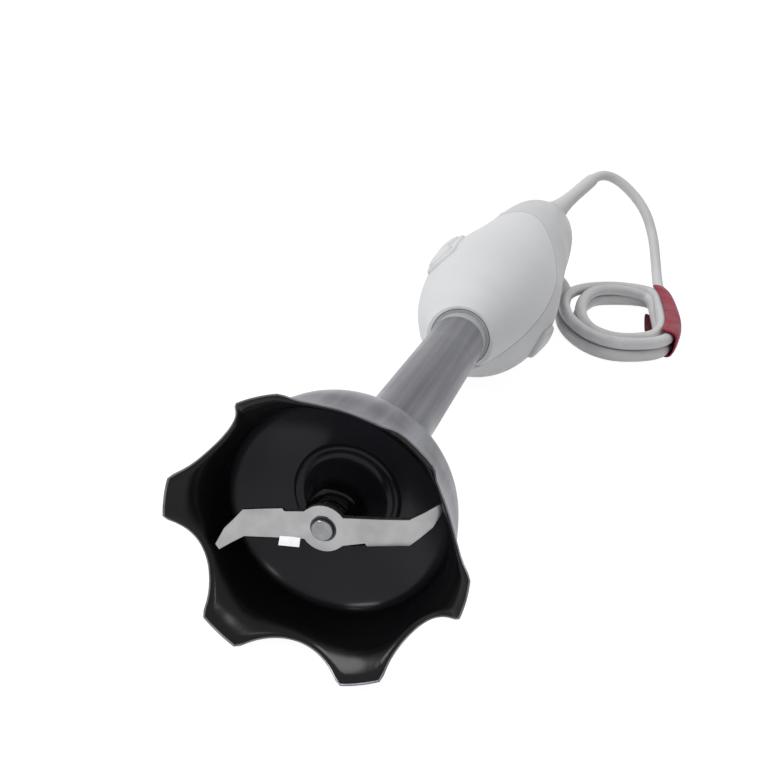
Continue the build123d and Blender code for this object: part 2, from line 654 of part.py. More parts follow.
def housing_half(keep_front):
    """One shell of the motor unit with its ribs, screw bosses and the socket's seat."""
    with BuildPart() as fittings:
        add(stator_ribs())
        for side in (-1, 1):
            add(screw_bar(side, -2 * BODY_RADIUS, 2 * BODY_RADIUS, SCREW_BOSS_RADIUS))
        tube(SOCKET_RIB_S, SOCKET_RIB_S + RIB_WIDTH, BODY_RADIUS)
        add(switch_room(), mode=Mode.SUBTRACT)
        for angle in RELEASE_ANGLES:
            add(release_room(angle), mode=Mode.SUBTRACT)
        if not keep_front:
            add(board_rails())
        add(HOUSING, mode=Mode.INTERSECT)
    with BuildPart() as shell:
        add(HOUSING)
        add(HOUSING_CAVITY, mode=Mode.SUBTRACT)
        add(fittings.part)
        add(seam_side(keep_front), mode=Mode.INTERSECT)
        tube(BODY_START_S - 1, SOCKET_END_S, SOCKET_RADIUS + FIT_GAP, mode=Mode.SUBTRACT)
    return shell.part


with BuildPart() as front_housing:
    add(housing_half(True))
    for side in (-1, 1):
        add(screw_bar(side, -1, SCREW_TIP + 0.5, SCREW_RADIUS), mode=Mode.SUBTRACT)
    # posts that the switch board is screwed to
    with BuildSketch(board_plane(SWITCH_FACE_RADIUS)) as posts:
        with Locations((-POST_ALONG, POST_ACROSS), (-POST_ALONG, -POST_ACROSS),
                       (POST_ALONG, -POST_ACROSS)):
            Circle(POST_RADIUS)
    extrude(posts.sketch, until=Until.NEXT, target=HOUSING_SHELL)
    for place in BUTTON_PLACES:
        add(slot_prism(BUTTON_ANGLE, place, BUTTON_LENGTH + 2 * MOVING_GAP,
                       BUTTON_WIDTH + 2 * MOVING_GAP, DEEP, FAR_OUT), mode=Mode.SUBTRACT)
save(front_housing.part, "front_housing")

with BuildPart() as rear_housing:
    add(housing_half(False))
    for side in (-1, 1):
        add(screw_bar(side, SCREW_SEAT, 1, SCREW_RADIUS + FIT_GAP), mode=Mode.SUBTRACT)
        add(screw_bar(side, -2 * BODY_RADIUS, SCREW_SEAT, SCREW_HEAD_RADIUS + FIT_GAP),
            mode=Mode.SUBTRACT)
    for angle in RELEASE_ANGLES:
        add(slot_prism(angle, RELEASE_S, RELEASE_LENGTH + 2 * MOVING_GAP,
                       RELEASE_WIDTH + 2 * MOVING_GAP, RELEASE_ROOM_RADIUS, FAR_OUT),
            mode=Mode.SUBTRACT)
    add(boot_cylinder(-2 * BOOT_ROOT, BOOT_ROOT, BOOT_ROOT_RADIUS + FIT_GAP), mode=Mode.SUBTRACT)
save(rear_housing.part, "rear_housing")

with BuildPart() as housing_screws:
    for side in (-1, 1):
        add(screw_bar(side, SCREW_SEAT - SCREW_HEAD_HEIGHT, SCREW_SEAT, SCREW_HEAD_RADIUS))
        add(screw_bar(side, SCREW_SEAT, SCREW_TIP, SCREW_RADIUS))
        with BuildSketch(seam_plane(side, SCREW_S, SCREW_SEAT - SCREW_HEAD_HEIGHT)):
            Rectangle(3, 0.7)
            Rectangle(0.7, 3)
        extrude(amount=SCREW_HEAD_HEIGHT / 2, mode=Mode.SUBTRACT)
save(housing_screws.part, "housing_screws")


# ---------------------------------------------------------------- buttons and switches
def button(angle, s, length, width, proud):
    """A cap that stands out of its opening, with a flange inside the wall that keeps it in."""
    with BuildPart() as cap:
        add(housing_solid(-proud))
        add(slot_prism(angle, s, length, width, DEEP / 2, FAR_OUT), mode=Mode.INTERSECT)
        add(housing_solid(BODY_WALL + MOVING_GAP), mode=Mode.SUBTRACT)
    with BuildPart() as flange:
        add(housing_solid(BODY_WALL + MOVING_GAP))
        add(slot_prism(angle, s, length + 2 * FLANGE_MARGIN, width + 2 * FLANGE_MARGIN,
                       DEEP / 2, FAR_OUT), mode=Mode.INTERSECT)
        add(housing_solid(BODY_WALL + MOVING_GAP + FLANGE_THICKNESS), mode=Mode.SUBTRACT)
    return cap.part + flange.part


for label, place in (("power_button", POWER_BUTTON_S), ("turbo_button", TURBO_BUTTON_S)):
    with BuildPart() as pressed:
        add(button(BUTTON_ANGLE, place, BUTTON_LENGTH, BUTTON_WIDTH, BUTTON_PROUD))
        # actuator that reaches its switch at the end of the travel
        with BuildSketch(radial(BUTTON_ANGLE, place, BODY_Z,
                                SWITCH_TOP_RADIUS + BUTTON_TRAVEL + MOVING_GAP)):
            Circle(ACTUATOR_RADIUS)
        extrude(amount=BUTTON_PROUD)
    save(pressed.part, label)

for label, angle in zip(("release_button_right", "release_button_left"), RELEASE_ANGLES):
    save(button(angle, RELEASE_S, RELEASE_LENGTH, RELEASE_WIDTH, RELEASE_PROUD), label)

with BuildPart() as button_bezel:
    add(housing_solid(-BEZEL_PROUD))
    add(slot_prism(BUTTON_ANGLE, BEZEL_S, BEZEL_LENGTH, BEZEL_WIDTH, DEEP, FAR_OUT),
        mode=Mode.INTERSECT)
    add(HOUSING, mode=Mode.SUBTRACT)
    for place in BUTTON_PLACES:
        add(slot_prism(BUTTON_ANGLE, place, BUTTON_LENGTH + 2 * MOVING_GAP,
                       BUTTON_WIDTH + 2 * MOVING_GAP, DEEP, FAR_OUT), mode=Mode.SUBTRACT)
save(button_bezel.part, "button_bezel")

with BuildPart() as switch_board:
    with BuildSketch(board_plane(SWITCH_BOARD_RADIUS)):
        Rectangle(SWITCH_BOARD_LENGTH, SWITCH_BOARD_WIDTH)
    extrude(amount=BOARD_THICKNESS)
save(switch_board.part, "switch_board")

for label, place in (("power_switch", POWER_BUTTON_S), ("turbo_switch", TURBO_BUTTON_S)):
    with BuildPart() as switch:
        with BuildSketch(radial(BUTTON_ANGLE, place, BODY_Z, SWITCH_FACE_RADIUS)):
            Rectangle(SWITCH_SIZE, SWITCH_SIZE)
        extrude(amount=SWITCH_HEIGHT - 0.6)
        with BuildSketch(radial(BUTTON_ANGLE, place, BODY_Z, SWITCH_TOP_RADIUS - 0.6)):
            Circle(SWITCH_SIZE / 4)
        extrude(amount=0.6)
    save(switch.part, label)

# ---------------------------------------------------------------- socket and latch
def latch_nibs(clearance):
    """Two teeth that pass through the sleeve towards the collar's groove."""
    with BuildPart() as nibs:
        for angle in RELEASE_ANGLES:
            with BuildSketch(radial(angle, GROOVE_S + GROOVE_WIDTH / 2, STEM_Z, SOCKET_BORE)):
                Rectangle(GROOVE_WIDTH - 4 * FIT_GAP + 2 * clearance, 5 + 2 * clearance)
            extrude(amount=SOCKET_WALL - CLIP_WALL / 2)
    return nibs.part


with BuildPart() as socket_sleeve:
    tube(BODY_START_S - 0.3, SOCKET_END_S, SOCKET_RADIUS, SOCKET_BORE)
    tube(GROOVE_S, GROOVE_S + GROOVE_WIDTH, SOCKET_RADIUS + 1, SOCKET_RADIUS - CLIP_WALL,
         Mode.SUBTRACT)
    add(latch_nibs(FIT_GAP), mode=Mode.SUBTRACT)
    tube(GROOVE_S, GROOVE_S + GROOVE_WIDTH, SOCKET_BORE, mode=Mode.SUBTRACT)
save(socket_sleeve.part, "socket_sleeve")

with BuildPart() as latch_clip:
    # a spring ring round the sleeve, open at the top
    tube(GROOVE_S + FIT_GAP, GROOVE_S + GROOVE_WIDTH - FIT_GAP, SOCKET_RADIUS,
         SOCKET_RADIUS - CLIP_WALL)
    with BuildSketch(across(GROOVE_S - 1, STEM_Z + SOCKET_RADIUS)) as opening:
        Rectangle(6, 6)
    extrude(opening.sketch, amount=-GROOVE_WIDTH - 2, mode=Mode.SUBTRACT)
    add(latch_nibs(0))
    tube(GROOVE_S, GROOVE_S + GROOVE_WIDTH, SOCKET_BORE, mode=Mode.SUBTRACT)
save(latch_clip.part, "latch_clip")

# ---------------------------------------------------------------- motor
BEARING_SEATS = {
    "front": FRONT_BRACKET_S + BRACKET_WIDTH - BEARING_WIDTH,
    "rear": REAR_BRACKET_S,
}
SHAFT_START_S = DRIVE_FACE_S + 1.0
SHAFT_END_S = REAR_BRACKET_S + BEARING_WIDTH

with BuildPart() as motor_shaft:
    tube(SHAFT_START_S, SHAFT_END_S, SHAFT_RADIUS)
save(motor_shaft.part, "motor_shaft")

for name, start in BEARING_SEATS.items():
    with BuildPart() as bearing:
        tube(start, start + BEARING_WIDTH, BEARING_RADIUS, BORE_RADIUS)
        # the shields are set back between the races
        for face in (start, start + BEARING_WIDTH - 0.4):
            tube(face, face + 0.4, BEARING_RADIUS - 1.2, BORE_RADIUS + 1.0, Mode.SUBTRACT)
    save(bearing.part, f"{name}_bearing")


def bracket(start, bearing_start):
    """A disc across the housing with a bearing's pocket and holes for the air."""
    with BuildPart() as disc:
        add(housing_slice(start, start + BRACKET_WIDTH))
        tube(bearing_start, bearing_start + BEARING_WIDTH, BEARING_RADIUS + FIT_GAP,
             mode=Mode.SUBTRACT)
        tube(start - 1, start + BRACKET_WIDTH + 1, SHAFT_RADIUS + 1, mode=Mode.SUBTRACT)
        with BuildSketch(across(start)) as air:
            with PolarLocations(AIR_HOLE_CIRCLE, 6, start_angle=30):
                Circle(AIR_HOLE_RADIUS)
        extrude(air.sketch, amount=-BRACKET_WIDTH, mode=Mode.SUBTRACT)
        add(switch_room(), mode=Mode.SUBTRACT)
        for angle in RELEASE_ANGLES:
            add(release_room(angle), mode=Mode.SUBTRACT)
    return disc.part


save(bracket(FRONT_BRACKET_S, BEARING_SEATS["front"]), "front_bracket")

BRUSH_S = (COMMUTATOR_START_S + COMMUTATOR_END_S) / 2
BRUSH_START = COMMUTATOR_RADIUS + MOVING_GAP
HOLDER_START = BRUSH_START + 2.0
HOLDER_SIZE = BRUSH_WIDTH + 2 * FIT_GAP + 2 * BRUSH_HOLDER_WALL


def brush_bar(size, start, end, angle):
    """A square bar pointing at the commutator, from one radius to another."""
    with BuildPart() as bar:
        with BuildSketch(radial(angle, BRUSH_S, STEM_Z, start)):
            Rectangle(size, size)
        extrude(amount=end - start)
    return bar.part


with BuildPart() as rear_bracket:
    add(bracket(REAR_BRACKET_S, BEARING_SEATS["rear"]))
    # arms that carry the brush holders
    for angle in BRUSH_ANGLES:
        with BuildSketch(radial(angle, BRUSH_S, STEM_Z, HOLDER_START)) as arm:
            with Locations(((REAR_BRACKET_S - BRUSH_S - HOLDER_SIZE / 2) / 2,
                            HOLDER_SIZE / 2 + BRUSH_ARM_THICKNESS / 2)):
                Rectangle(REAR_BRACKET_S - BRUSH_S + HOLDER_SIZE / 2, BRUSH_ARM_THICKNESS)
        extrude(arm.sketch, amount=BRUSH_HOLDER_END - HOLDER_START)
save(rear_bracket.part, "rear_bracket")

with BuildPart() as brush_holders:
    for angle in BRUSH_ANGLES:
        add(brush_bar(HOLDER_SIZE, HOLDER_START, BRUSH_HOLDER_END, angle))
        add(brush_bar(BRUSH_WIDTH + 2 * FIT_GAP, HOLDER_START, BRUSH_HOLDER_END - 1, angle),
            mode=Mode.SUBTRACT)
save(brush_holders.part, "brush_holders")

with BuildPart() as carbon_brushes:
    for angle in BRUSH_ANGLES:
        add(brush_bar(BRUSH_WIDTH, BRUSH_START, BRUSH_START + BRUSH_LENGTH, angle))
save(carbon_brushes.part, "carbon_brushes")

SPRING_START = BRUSH_START + BRUSH_LENGTH
SPRING_PITCH = (BRUSH_HOLDER_END - 1 - SPRING_START) / SPRING_TURNS
with BuildPart() as brush_springs:
    # close turns, drawn as rings that touch
    for angle in BRUSH_ANGLES:
        for ring in range(SPRING_TURNS):
            with BuildSketch(radial(angle, BRUSH_S, STEM_Z, SPRING_START + ring * SPRING_PITCH)):
                Circle(BRUSH_WIDTH / 2 - (ring % 2) * 0.3)
                Circle(BRUSH_WIDTH / 2 - 0.9, mode=Mode.SUBTRACT)
            extrude(amount=SPRING_PITCH)
save(brush_springs.part, "brush_springs")

with BuildPart() as fan:
    tube(FAN_S, FAN_S + FAN_LENGTH, FAN_HUB_RADIUS, SHAFT_RADIUS)
    for blade_index in range(FAN_BLADES):
        with BuildSketch(radial(360 / FAN_BLADES * blade_index, FAN_S, STEM_Z,
                                FAN_HUB_RADIUS - 1)) as section:
            with BuildLine():
                Polyline((0, -1.6), (FAN_LENGTH, 0.6), (FAN_LENGTH, 1.8), (0, -0.4), close=True)
            make_face()
        extrude(section.sketch, amount=FAN_RADIUS - FAN_HUB_RADIUS + 1)
save(fan.part, "cooling_fan")

with BuildPart() as rotor_core:
    tube(STATOR_START_S, STATOR_END_S, ROTOR_RADIUS, SHAFT_RADIUS)
    with BuildSketch(across(STATOR_START_S)) as slots:
        with PolarLocations((ROTOR_SLOT_FLOOR + ROTOR_RADIUS) / 2 + 0.5, ROTOR_SLOTS):
            Rectangle(ROTOR_RADIUS - ROTOR_SLOT_FLOOR + 1, ROTOR_SLOT_WIDTH)
    extrude(slots.sketch, amount=STATOR_START_S - STATOR_END_S, mode=Mode.SUBTRACT)
save(rotor_core.part, "rotor_core")

with BuildPart() as rotor_windings:
    for start, end in (
        (STATOR_START_S - COIL_OVERHANG, STATOR_START_S),
        (STATOR_END_S, STATOR_END_S + COIL_OVERHANG),
    ):
        tube(start, end, ROTOR_RADIUS - 0.8, SHAFT_RADIUS)
    with BuildSketch(across(STATOR_START_S)) as bars:
        with PolarLocations((ROTOR_SLOT_FLOOR + ROTOR_RADIUS - 0.8) / 2, ROTOR_SLOTS):
            Rectangle(ROTOR_RADIUS - 0.8 - ROTOR_SLOT_FLOOR, ROTOR_SLOT_WIDTH)
    extrude(bars.sketch, amount=STATOR_START_S - STATOR_END_S)
save(rotor_windings.part, "rotor_windings")

with BuildPart() as commutator:
    tube(COMMUTATOR_START_S, COMMUTATOR_END_S, COMMUTATOR_RADIUS, SHAFT_RADIUS)
    tube(STATOR_END_S + COIL_OVERHANG, COMMUTATOR_START_S, COMMUTATOR_RADIUS + 1.5, SHAFT_RADIUS)
save(commutator.part, "commutator")

POLE_BORE = ROTOR_RADIUS + AIR_GAP
POLE_BACK = MOTOR_RADIUS - MOTOR_RING


def coil_gaps(start, end, clearance):
    """The two wedges beside the poles that the field coils fill."""
    with BuildPart() as gaps:
        tube(start, end, POLE_BACK + 0.01 - clearance, POLE_BORE + clearance)
        reach = 2 * MOTOR_RADIUS
        rise = reach * sin(radians(COIL_HALF_ANGLE)) / cos(radians(COIL_HALF_ANGLE))
        with BuildSketch(across(start)) as wedges:
            with BuildLine():
                Polyline((0, 0), (reach, rise - clearance), (reach, clearance - rise), close=True)
            make_face()
            mirror(about=Plane.YZ)
        extrude(wedges.sketch, amount=start - end, mode=Mode.INTERSECT)
    return gaps.part


with BuildPart() as motor_stator:
    tube(STATOR_START_S, STATOR_END_S, MOTOR_RADIUS, POLE_BORE)
    add(coil_gaps(STATOR_START_S, STATOR_END_S, 0), mode=Mode.SUBTRACT)
save(motor_stator.part, "motor_stator")

with BuildPart() as field_coils:
    add(coil_gaps(STATOR_START_S - 1, STATOR_END_S + 1, FIT_GAP))
    for start, end in (
        (STATOR_START_S - COIL_OVERHANG, STATOR_START_S - FIT_GAP),
        (STATOR_END_S + FIT_GAP, STATOR_END_S + COIL_OVERHANG),
    ):
        tube(start, end, POLE_BACK + 1, POLE_BORE + FIT_GAP)
    # one coil round the upper pole and one round the lower
    with BuildSketch(across(STATOR_START_S - COIL_OVERHANG - 1)) as parting:
        Rectangle(3 * MOTOR_RADIUS, 2 * FIT_GAP)
    extrude(parting.sketch, amount=-BLENDER_LENGTH, mode=Mode.SUBTRACT)
save(field_coils.part, "field_coils")

# ---------------------------------------------------------------- electronics
with BuildPart() as control_board:
    with BuildSketch(across(RAIL_START_S, CONTROL_BOARD_Z + CONTROL_BOARD_THICKNESS / 2)):
        Rectangle(CONTROL_BOARD_WIDTH, CONTROL_BOARD_THICKNESS)
    extrude(amount=RAIL_START_S - RAIL_END_S)
save(control_board.part, "control_board")

for label, (s, x), (length, width, height) in (
    ("suppression_capacitor", CAPACITOR_PLACE, CAPACITOR_SIZE),
    ("speed_triac", TRIAC_PLACE, TRIAC_SIZE),
    ("mains_terminal", TERMINAL_PLACE, TERMINAL_SIZE),
):
    with BuildPart() as block:
        with BuildSketch(Plane(origin=(x, RIM_Y + s, BOARD_TOP_Z))):
            RectangleRounded(width, length, 0.8)
        extrude(amount=height)
    save(block.part, label)


# ---------------------------------------------------------------- cord
def route(points):
    """A cord's middle line: straight runs, each corner an arc as large as its runs allow."""
    corners = []
    for before, corner, after in zip(points, points[1:], points[2:]):
        arriving, leaving = corner - before, after - corner
        half_turn = radians(arriving.get_angle(leaving)) / 2
        corners.append(0.45 * min(arriving.length, leaving.length) / tan(half_turn))
    with BuildLine() as line:
        FilletPolyline(*points, radius=corners if len(corners) > 1 else corners[0])
    return line.wire(), corners


def cord(label, points):
    """A round cord along its route, named and saved."""
    path, corners = route(points)
    with BuildPart() as run:
        with BuildSketch(Plane(origin=points[0], z_dir=points[1] - points[0])) as section:
            Circle(CORD_RADIUS)
        sweep(section.sketch, path=path)
    expected = path.length * pi * CORD_RADIUS ** 2
    print(f"{label}: length {path.length:.1f}, radii {[round(corner, 1) for corner in corners]}, "
          f"volume over section times length {run.part.volume / expected:.4f}")
    save(run.part, label)


def places(*corners):
    """Points given as (X, s, Z)."""
    return [Vector(x, RIM_Y + s, z) for x, s, z in corners]


with BuildPart() as cord_boot:
    with BuildSketch(Plane(origin=boot_point(0), x_dir=BOOT_DIRECTION, z_dir=BOOT_SIDE)) as half:
        with BuildLine():
            foot = (-BOOT_FOOT, BOOT_BASE_RADIUS)
            Spline(foot, (4, BOOT_RADIUS + 1.3), (12, BOOT_RADIUS), (BOOT_LENGTH, BOOT_TIP_RADIUS))
            Polyline((BOOT_LENGTH, BOOT_TIP_RADIUS), (BOOT_LENGTH, 0), (-BOOT_FOOT, 0), foot)
        make_face()
    revolve(half.sketch, axis=Axis(boot_point(0), BOOT_DIRECTION))
    add(HOUSING, mode=Mode.SUBTRACT)
    add(boot_cylinder(-BOOT_ROOT, BOOT_ROOT, BOOT_ROOT_RADIUS))
    # the flange inside the wall
    add(boot_cylinder(-BOOT_ROOT, -BOOT_ROOT + 3, BOOT_ROOT_RADIUS + 1.8))
save(cord_boot.part, "cord_boot")

cord("inner_lead", [
    boot_point(-BOOT_ROOT), boot_point(-BOOT_ROOT - 18),
    Vector(TERMINAL_PLACE[1], RIM_Y + TERMINAL_PLACE[0] + TERMINAL_SIZE[0] / 2,
           BOARD_TOP_Z + CORD_RADIUS + 1),
])
cord("cord_lead", [boot_point(BOOT_LENGTH)] + places(
    (26.5, 446.5, 67.3), (43.5, 461.0, 64.5), (60.5, 457.0, 50.5),
    (73.0, 440.0, 32.5), (80.0, 420.0, 18.5), (82.0, 401.0, 9.0),
))
cord("cord_tail", places(
    (27.5, 352, 3), (26, 382, 3), (14, 408, 3), (-6, 424, 3), (-20, 444, 3), (-22, 470, 7),
))

HANK_FAR_END = 413.0
TIE_SPAN = (312.0, 398.0)
TIE_LENGTH = TIE_SPAN[1] - TIE_SPAN[0]
TIE_X = (TIE_START_X, TIE_START_X + 13.0)
TIE_HEIGHT = HANK_HEIGHT + TIE_WALL
TIE_MIDDLE = Vector(sum(TIE_X) / 2, RIM_Y + sum(TIE_SPAN) / 2)
TIE_WIDTH = TIE_X[1] - TIE_X[0]
HANK_OUTSIDE = [
    (24, 338), (33, 369), (48.6, 394), (67, 403), (80, HANK_FAR_END), (87, 404), (89.5, 360),
    (86, 317), (69, 291), (50, 274), (31, 296),
]
HANK_INSIDE = [
    (42, 340), (47, 372), (60, 390), (73, 388), (TIE_START_X, 372), (TIE_START_X, 330),
    (73, 305), (60, 291), (49, 290), (43, 305),
]


def ring_side(corners):
    """A closed smooth outline on the surface, from (X, s) corners."""
    with BuildLine() as side:
        Spline(*[(x, RIM_Y + s) for x, s in corners], periodic=True)
    return side.line


with BuildPart() as cord_hank:
    with BuildSketch() as ring:
        make_face(ring_side(HANK_OUTSIDE).edges())
        make_face(ring_side(HANK_INSIDE).edges(), mode=Mode.SUBTRACT)
    extrude(ring.sketch, amount=HANK_HEIGHT)
    # inside the tie the strands are drawn together
    with BuildSketch(Plane(origin=TIE_MIDDLE)) as gap:
        with Locations((TIE_WIDTH / 2, 0)):
            Rectangle(2 * TIE_WIDTH, TIE_LENGTH)
    extrude(gap.sketch, amount=HANK_HEIGHT + 1, mode=Mode.SUBTRACT)
    with BuildSketch(Plane(origin=TIE_MIDDLE + Vector(0, 0, TIE_WALL))) as bundle:
        Rectangle(TIE_WIDTH - 2 * TIE_WALL, TIE_LENGTH)
    extrude(bundle.sketch, amount=HANK_HEIGHT - TIE_WALL)
save(cord_hank.part, "cord_hank")

with BuildPart() as cord_tie:
    with BuildSketch(Plane(origin=TIE_MIDDLE)):
        Rectangle(TIE_WIDTH, TIE_LENGTH)
    extrude(amount=TIE_HEIGHT)
    fillet(cord_tie.edges().filter_by(Axis.Y), 2.5)
    with BuildSketch(Plane(origin=TIE_MIDDLE + Vector(0, 0, TIE_WALL))) as inside:
        Rectangle(TIE_WIDTH - 2 * TIE_WALL, TIE_LENGTH)
    extrude(inside.sketch, amount=HANK_HEIGHT - TIE_WALL, mode=Mode.SUBTRACT)
save(cord_tie.part, "cord_tie")

PLUG_START = Vector(-22, RIM_Y + 470, PLUG_HEIGHT / 2)
with BuildPart() as plug_body:
    with BuildSketch(Plane(origin=PLUG_START, x_dir=(1, 0, 0), z_dir=(0, -1, 0))) as face:
        RectangleRounded(PLUG_WIDTH * 0.6, PLUG_HEIGHT, 5)
    with BuildSketch(Plane(origin=PLUG_START + Vector(0, PLUG_LENGTH, 0), x_dir=(1, 0, 0),
                           z_dir=(0, -1, 0))) as front:
        RectangleRounded(PLUG_WIDTH, PLUG_HEIGHT, 6)
    loft([face.sketch, front.sketch])
save(plug_body.part, "plug_body")

with BuildPart() as plug_pins:
    with BuildSketch(Plane(origin=PLUG_START + Vector(0, PLUG_LENGTH, 0), x_dir=(1, 0, 0),
                           z_dir=(0, -1, 0))) as pins:
        with GridLocations(PIN_SPACING, 0, 2, 1):
            Circle(PIN_RADIUS)
    extrude(pins.sketch, amount=-PIN_LENGTH)
save(plug_pins.part, "plug_pins")
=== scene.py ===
"""Immersion blender lying on its side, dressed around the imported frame.

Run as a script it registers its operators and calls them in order.
"""
import json
from math import atan2, cos, pi, radians, sin, sqrt, tau

import bmesh
import bpy
from mathutils import Matrix, Vector


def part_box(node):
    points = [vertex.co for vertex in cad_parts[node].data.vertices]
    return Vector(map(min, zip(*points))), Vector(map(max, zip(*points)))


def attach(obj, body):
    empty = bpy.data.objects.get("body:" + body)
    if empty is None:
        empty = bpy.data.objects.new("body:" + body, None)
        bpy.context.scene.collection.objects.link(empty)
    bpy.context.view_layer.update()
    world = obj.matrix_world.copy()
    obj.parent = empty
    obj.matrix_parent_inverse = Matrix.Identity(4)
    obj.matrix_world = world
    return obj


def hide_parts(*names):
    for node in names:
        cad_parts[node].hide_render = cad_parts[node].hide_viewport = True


bl_info = {
    "name": "Immersion Blender",
    "version": (1, 0, 0),
    "blender": (4, 5, 0),
    "location": "View3D > Sidebar > Blender",
    "description": "Dresses the frame of an immersion blender with its guard, blade, shells and cord",
    "category": "Add Mesh",
}

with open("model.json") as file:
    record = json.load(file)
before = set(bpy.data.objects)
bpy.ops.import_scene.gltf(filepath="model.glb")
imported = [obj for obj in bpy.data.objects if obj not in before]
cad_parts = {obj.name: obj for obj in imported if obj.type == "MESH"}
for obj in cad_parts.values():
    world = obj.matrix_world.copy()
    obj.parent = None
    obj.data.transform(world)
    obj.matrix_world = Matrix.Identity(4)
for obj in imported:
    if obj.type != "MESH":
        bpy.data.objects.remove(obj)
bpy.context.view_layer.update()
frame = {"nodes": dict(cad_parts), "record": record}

MM = 0.001
RIM_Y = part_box("bell_shell")[0][1]  # plane of the guard's lobe tips
STEM_Z = (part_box("stem_tube")[0][2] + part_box("stem_tube")[1][2]) / 2  # the shaft line's height
SHAFT_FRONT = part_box("blade_shaft")[0][1]  # plane of the shaft's front end
LOBES = 6
WELD = 1e-6  # points nearer than this become one, metres
CREASE_S = 18.0 * MM  # where the guard's petals end and its bowl begins

SHARED = {}  # node groups by name, shared by the materials
FINISH = {}  # finished materials by slot, and two more for pieces made here


# ---------------- sizes and colours
def size_prop(name, description, millimetres):
    """A length that a user can change."""
    return bpy.props.FloatProperty(
        name=name, description=description, default=millimetres * MM, unit="LENGTH")


def angle_prop(name, description, degrees):
    """An angle that a user can change."""
    return bpy.props.FloatProperty(
        name=name, description=description, default=radians(degrees), unit="ROTATION")


def colour_prop(name, description, default):
    """A colour that a user can change."""
    return bpy.props.FloatVectorProperty(
        name=name, description=description, subtype="COLOR", size=3, default=default)


class GuardSizes(bpy.types.PropertyGroup):
    """The blade guard on the end of the stem."""

    rim_radius: size_prop("Rim radius", "From the shaft line to a lobe's tip", 34.5)
    lobe_half_angle: angle_prop("Lobe half angle", "Half of the width of one lobe's tip", 8.5)
    scallop_depth: size_prop("Scallop depth", "Depth of the notch between two lobes", 6.7)
    wall: size_prop("Steel wall", "Thickness of the drawn steel", 0.7)
    liner_wall: size_prop("Liner wall", "Thickness of the black liner", 0.8)
    rim_lip: size_prop("Rim lip", "How far the steel edge stands past the liner", 0.15)
    petal: size_prop("Petal", "How far each lobe swells outwards below its tip", 0.35)


class BladeSizes(bpy.types.PropertyGroup):
    """The two-armed blade."""

    thickness: size_prop("Thickness", "Thickness of the blade's steel", 1.5)
    hub_radius: size_prop("Hub radius", "Radius of the round middle", 5.6)
    bend: angle_prop("Tip bend", "How far each tip is bent out of the blade's plane", 24)


class HousingSizes(bpy.types.PropertyGroup):
    """The motor unit's shells and buttons."""

    wall: size_prop("Wall", "Thickness of the shells", 2.4)
    seam_gap: size_prop("Seam gap", "Gap between the two shells", 0.3)
    button_gap: size_prop("Button gap", "Gap round each button", 0.3)
    power_s: size_prop("Power button", "From the rim to the middle of the power button", 213.5)
    turbo_s: size_prop("Turbo button", "From the rim to the middle of the turbo button", 232.5)
    button_length: size_prop("Button length", "Length of the power and turbo buttons", 15)
    button_width: size_prop("Button width", "Width of the power and turbo buttons", 12)
    button_proud: size_prop(
        "Button height", "Height of the power and turbo buttons over the shell", 2.6)
    bezel_margin: size_prop("Frame margin", "Width of the frame round the two buttons", 2)
    bezel_proud: size_prop("Frame height", "Height of the frame over the shell", 1.4)
    release_s: size_prop(
        "Release buttons", "From the rim to the middle of the release buttons", 212)
    release_length: size_prop("Release length", "Length of a release button", 24)
    release_width: size_prop("Release width", "Width of a release button", 13)
    release_proud: size_prop("Release height", "Height of a release button over the shell", 2)


class CordSizes(bpy.types.PropertyGroup):
    """The mains cord."""

    radius: size_prop("Radius", "Radius of the round cord", 3)
    low: size_prop("Lower layer", "Height of the hank's lower strands", 3)
    high: size_prop("Upper layer", "Height of the hank's upper strands", 9.3)


class Finishes(bpy.types.PropertyGroup):
    """Colours of the main finishes."""

    shell: colour_prop("Housing", "White plastic of the motor unit", (0.66, 0.665, 0.68))
    steel: colour_prop("Steel", "Drawn steel of the stem and the guard", (0.155, 0.157, 0.177))
    liner: colour_prop("Liner", "Black plastic inside the guard", (0.012, 0.012, 0.014))
    cord: colour_prop("Cord", "White sheath of the cord", (0.62, 0.62, 0.63))
    tie: colour_prop("Tie", "Red tie round the hank", (0.26, 0.008, 0.030))


def tuned(item, **settings):
    """Set several of an item's settings."""
    for name, value in settings.items():
        setattr(item, name, value)
    return item


# ---------------- node groups
MASK = (("Mask", "NodeSocketFloat"),)
MASK_AND_NORMAL = (*MASK, ("Normal", "NodeSocketVector"))


def link(tree, source, target):
    tree.links.new(source, target)


def add(tree, kind, values=(), sources=(), **settings):
    """A new node with its settings, its own input values and the sources of its linked inputs."""
    node = tuned(tree.nodes.new("ShaderNode" + kind), **settings)
    for name, value in dict(values).items():
        node.inputs[name].default_value = value
    for name, source in dict(sources).items():
        link(tree, source, node.inputs[name])
    return node


def node_group(name, inputs, outputs):
    """A shared shader group with float inputs (name, default) and outputs (name, type)."""
    group = SHARED[name] = bpy.data.node_groups.new(name, "ShaderNodeTree")
    for label, default in inputs:
        socket = group.interface.new_socket(label, in_out="INPUT", socket_type="NodeSocketFloat")
        socket.default_value = default
    for label, kind in outputs:
        group.interface.new_socket(label, in_out="OUTPUT", socket_type=kind)
    given, result = (group.nodes.new(kind) for kind in ("NodeGroupInput", "NodeGroupOutput"))
    return group, given.outputs, result.inputs


def object_place(tree):
    return add(tree, "TexCoord").outputs["Object"]


def soft_step(tree, value, low, high):
    """A mask that rises softly from 0 to 1 between two values."""
    return add(tree, "MapRange", {"From Min": low, "From Max": high}, {"Value": value},
               interpolation_type="SMOOTHSTEP").outputs["Result"]


